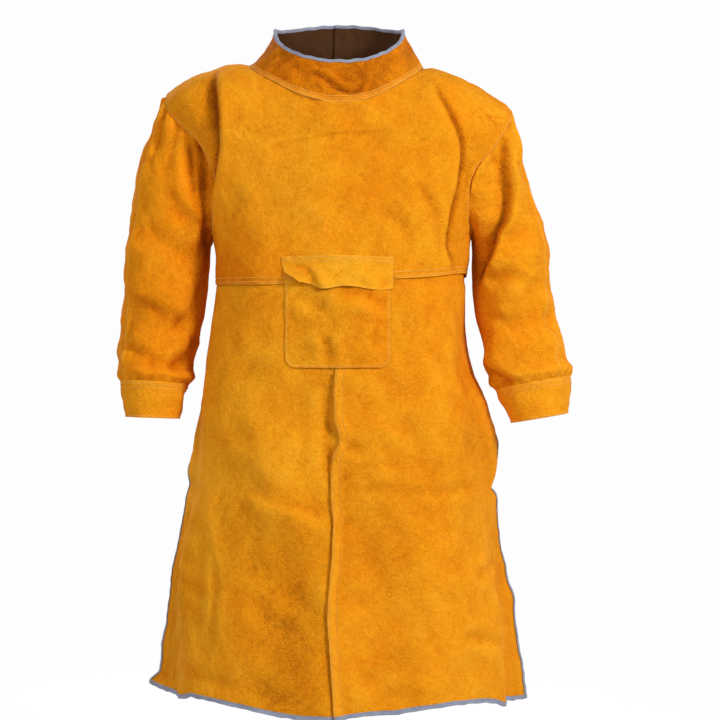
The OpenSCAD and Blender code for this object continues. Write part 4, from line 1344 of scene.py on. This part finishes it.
def anchor(side):
    name = side_name(side)
    z = np.linspace(STRAP_Z + 0.017, STRAP_Z - 0.017, 14)
    t = t_at(z)
    phi = spread(np.full(14, ANCHOR_FROM), np.full(14, ANCHOR_TO), np.linspace(0, 1, 16)) * side
    tt = np.broadcast_to(t[:, None], phi.shape)
    if side < 0:
        phi = phi[:, ::-1]
    outer = coat_point(phi, tt, np.full(phi.shape, 0.0020))
    obj = sheet_piece(f"strap_anchor_{name}_hide", outer, SUEDE, 14 + side)
    place(obj, "coat", "suede", f"strap_anchor_{name}")
    edge = [(1, 1), (1, -2), (-2, -2), (-2, 1), (1, 1)]
    lines = np.concatenate([np.linspace(outer[a], outer[b], 20)
                            for a, b in zip(edge[:-1], edge[1:])] + [np.linspace(outer[1, 1], outer[-2, -2], 20),
                                                                     np.linspace(outer[1, -2], outer[-2, 1], 20)])
    out = unit(np.cross(outer[-1, 0] - outer[0, 0], outer[0, -1] - outer[0, 0]))
    rows = [(lines[k:k + 20] + out * 0.0006, np.broadcast_to(out, (20, 3))) for k in range(0, 120, 20)]
    place(stitches(f"strap_anchor_{name}_stitches", rows, THREAD), "coat", "suede")


def finish_cad_node(name, material):
    """A hard part straight from the CAD, with its own material and slightly rounded edges."""
    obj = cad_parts[name]
    obj.data.materials.clear()
    obj.data.materials.append(material)
    rounding = obj.modifiers.new("rounding", "BEVEL")
    rounding.width = 0.00035
    rounding.segments = 2
    rounding.limit_method = "ANGLE"


# ---------------------------------------------------------------- stage
FLOOR_Z = -1.46
PALE = (0.985, 0.985, 0.985)
AMBIENT = 0.36            # light from the pale room, less than the white that the eye sees there


def seen_or_ambient(m):
    """1 where the eye sees it and less where it only lights the coat, as in a room lit from one side."""
    seen = m.add("ShaderNodeLightPath").outputs["Is Camera Ray"]
    return m.math("MULTIPLY_ADD", seen, 1 - AMBIENT, AMBIENT)


def stage():
    m = Nodes("floor")
    place_at = m.add("ShaderNodeTexCoord").outputs["Object"]
    radius = m.add("ShaderNodeVectorMath", {0: place_at}, operation="LENGTH").outputs["Value"]
    grain = m.noise(place_at, 3.0, 3.0)
    base = m.ramp(grain, [(0.3, tuple(c * 0.985 for c in PALE)), (0.7, PALE)])
    m.finish(base, 0.9, None)
    glow = m.add("ShaderNodeEmission", {"Color": (*PALE, 1), "Strength": seen_or_ambient(m)})
    far = m.add("ShaderNodeMapRange", {"Value": radius, "From Min": 0.6, "From Max": 2.4})
    both = m.add("ShaderNodeMixShader", {"Fac": far.outputs["Result"], 1: m.shader.outputs["BSDF"],
                                         2: glow.outputs["Emission"]})
    m.tree.links.new(both.outputs["Shader"], m.tree.nodes["Material Output"].inputs["Surface"])
    a = np.radians(np.arange(0, 360, 5))
    points = np.stack([30 * np.cos(a), 30 * np.sin(a), np.full(a.shape, FLOOR_Z)], -1)
    floor = new_object("floor", points, [list(range(len(a)))], m.material)


def lamp(name, place_at, target, size, power, colour=(1, 1, 1)):
    light = bpy.data.lights.new(name, "AREA")
    light.shape, light.size, light.energy, light.color = "DISK", size, power, colour
    obj = bpy.data.objects.new(name, light)
    obj.location = place_at
    obj.rotation_mode = "QUATERNION"
    obj.rotation_quaternion = (Vector(target) - Vector(place_at)).to_track_quat("-Z", "Y")
    bpy.context.scene.collection.objects.link(obj)


def lights():
    world = bpy.data.worlds.new("studio")
    world.use_nodes = True
    background = world.node_tree.nodes["Background"]
    background.inputs["Color"].default_value = (*PALE, 1)
    seen = world.node_tree.nodes.new("ShaderNodeLightPath")
    level = world.node_tree.nodes.new("ShaderNodeMapRange")
    level.inputs["To Min"].default_value = AMBIENT
    world.node_tree.links.new(seen.outputs["Is Camera Ray"], level.inputs["Value"])
    world.node_tree.links.new(level.outputs["Result"], background.inputs["Strength"])
    bpy.context.scene.world = world
    middle = (0, 0, -0.5)
    lamp("key", (2.5, -2.3, 1.1), middle, 0.8, 108.0)
    lamp("fill", (-2.2, -3.0, 0.7), middle, 1.6, 50.0)
    lamp("back_key", (-1.6, 2.6, 1.2), middle, 1.0, 70.0)
    lamp("back_fill", (2.2, 2.2, 0.2), middle, 1.6, 22.0)


CAMERA_AT = Vector((0.032, -3.2, -0.272))
CAMERA_AIM = Vector((0.032, 0.0, -0.498))
LENS, SENSOR = 90.0, 36.0


def camera():
    data = bpy.data.cameras.new("camera")
    data.lens, data.sensor_width = LENS, SENSOR
    obj = bpy.data.objects.new("camera", data)
    obj.location = CAMERA_AT
    obj.rotation_mode = "QUATERNION"
    obj.rotation_quaternion = (CAMERA_AIM - CAMERA_AT).to_track_quat("-Z", "Y")
    bpy.context.scene.collection.objects.link(obj)
    bpy.context.scene.camera = obj
    bpy.context.scene.view_settings.view_transform = "Standard"


# ---------------------------------------------------------------- the coat
bodice_front()
backs = [back_panel(-1, 3), back_panel(1, 4)]
skirts = [skirt_panel(-1, 15), skirt_panel(1, 16)]
coat_stitches()
edge_bindings(backs, skirts)
collar()
collar_closure()
pocket_pouch()
pocket_flap()
sleeve("left", 17)
sleeve("right", 21)
waist_straps()
for cad_node in ("buckle_socket", "buckle_plug", "buckle_prongs"):
    finish_cad_node(cad_node, BUCKLE)
finish_cad_node("strap_keeper", KEEPER)
stage()
lights()
camera()

bpy.context.view_layer.update()
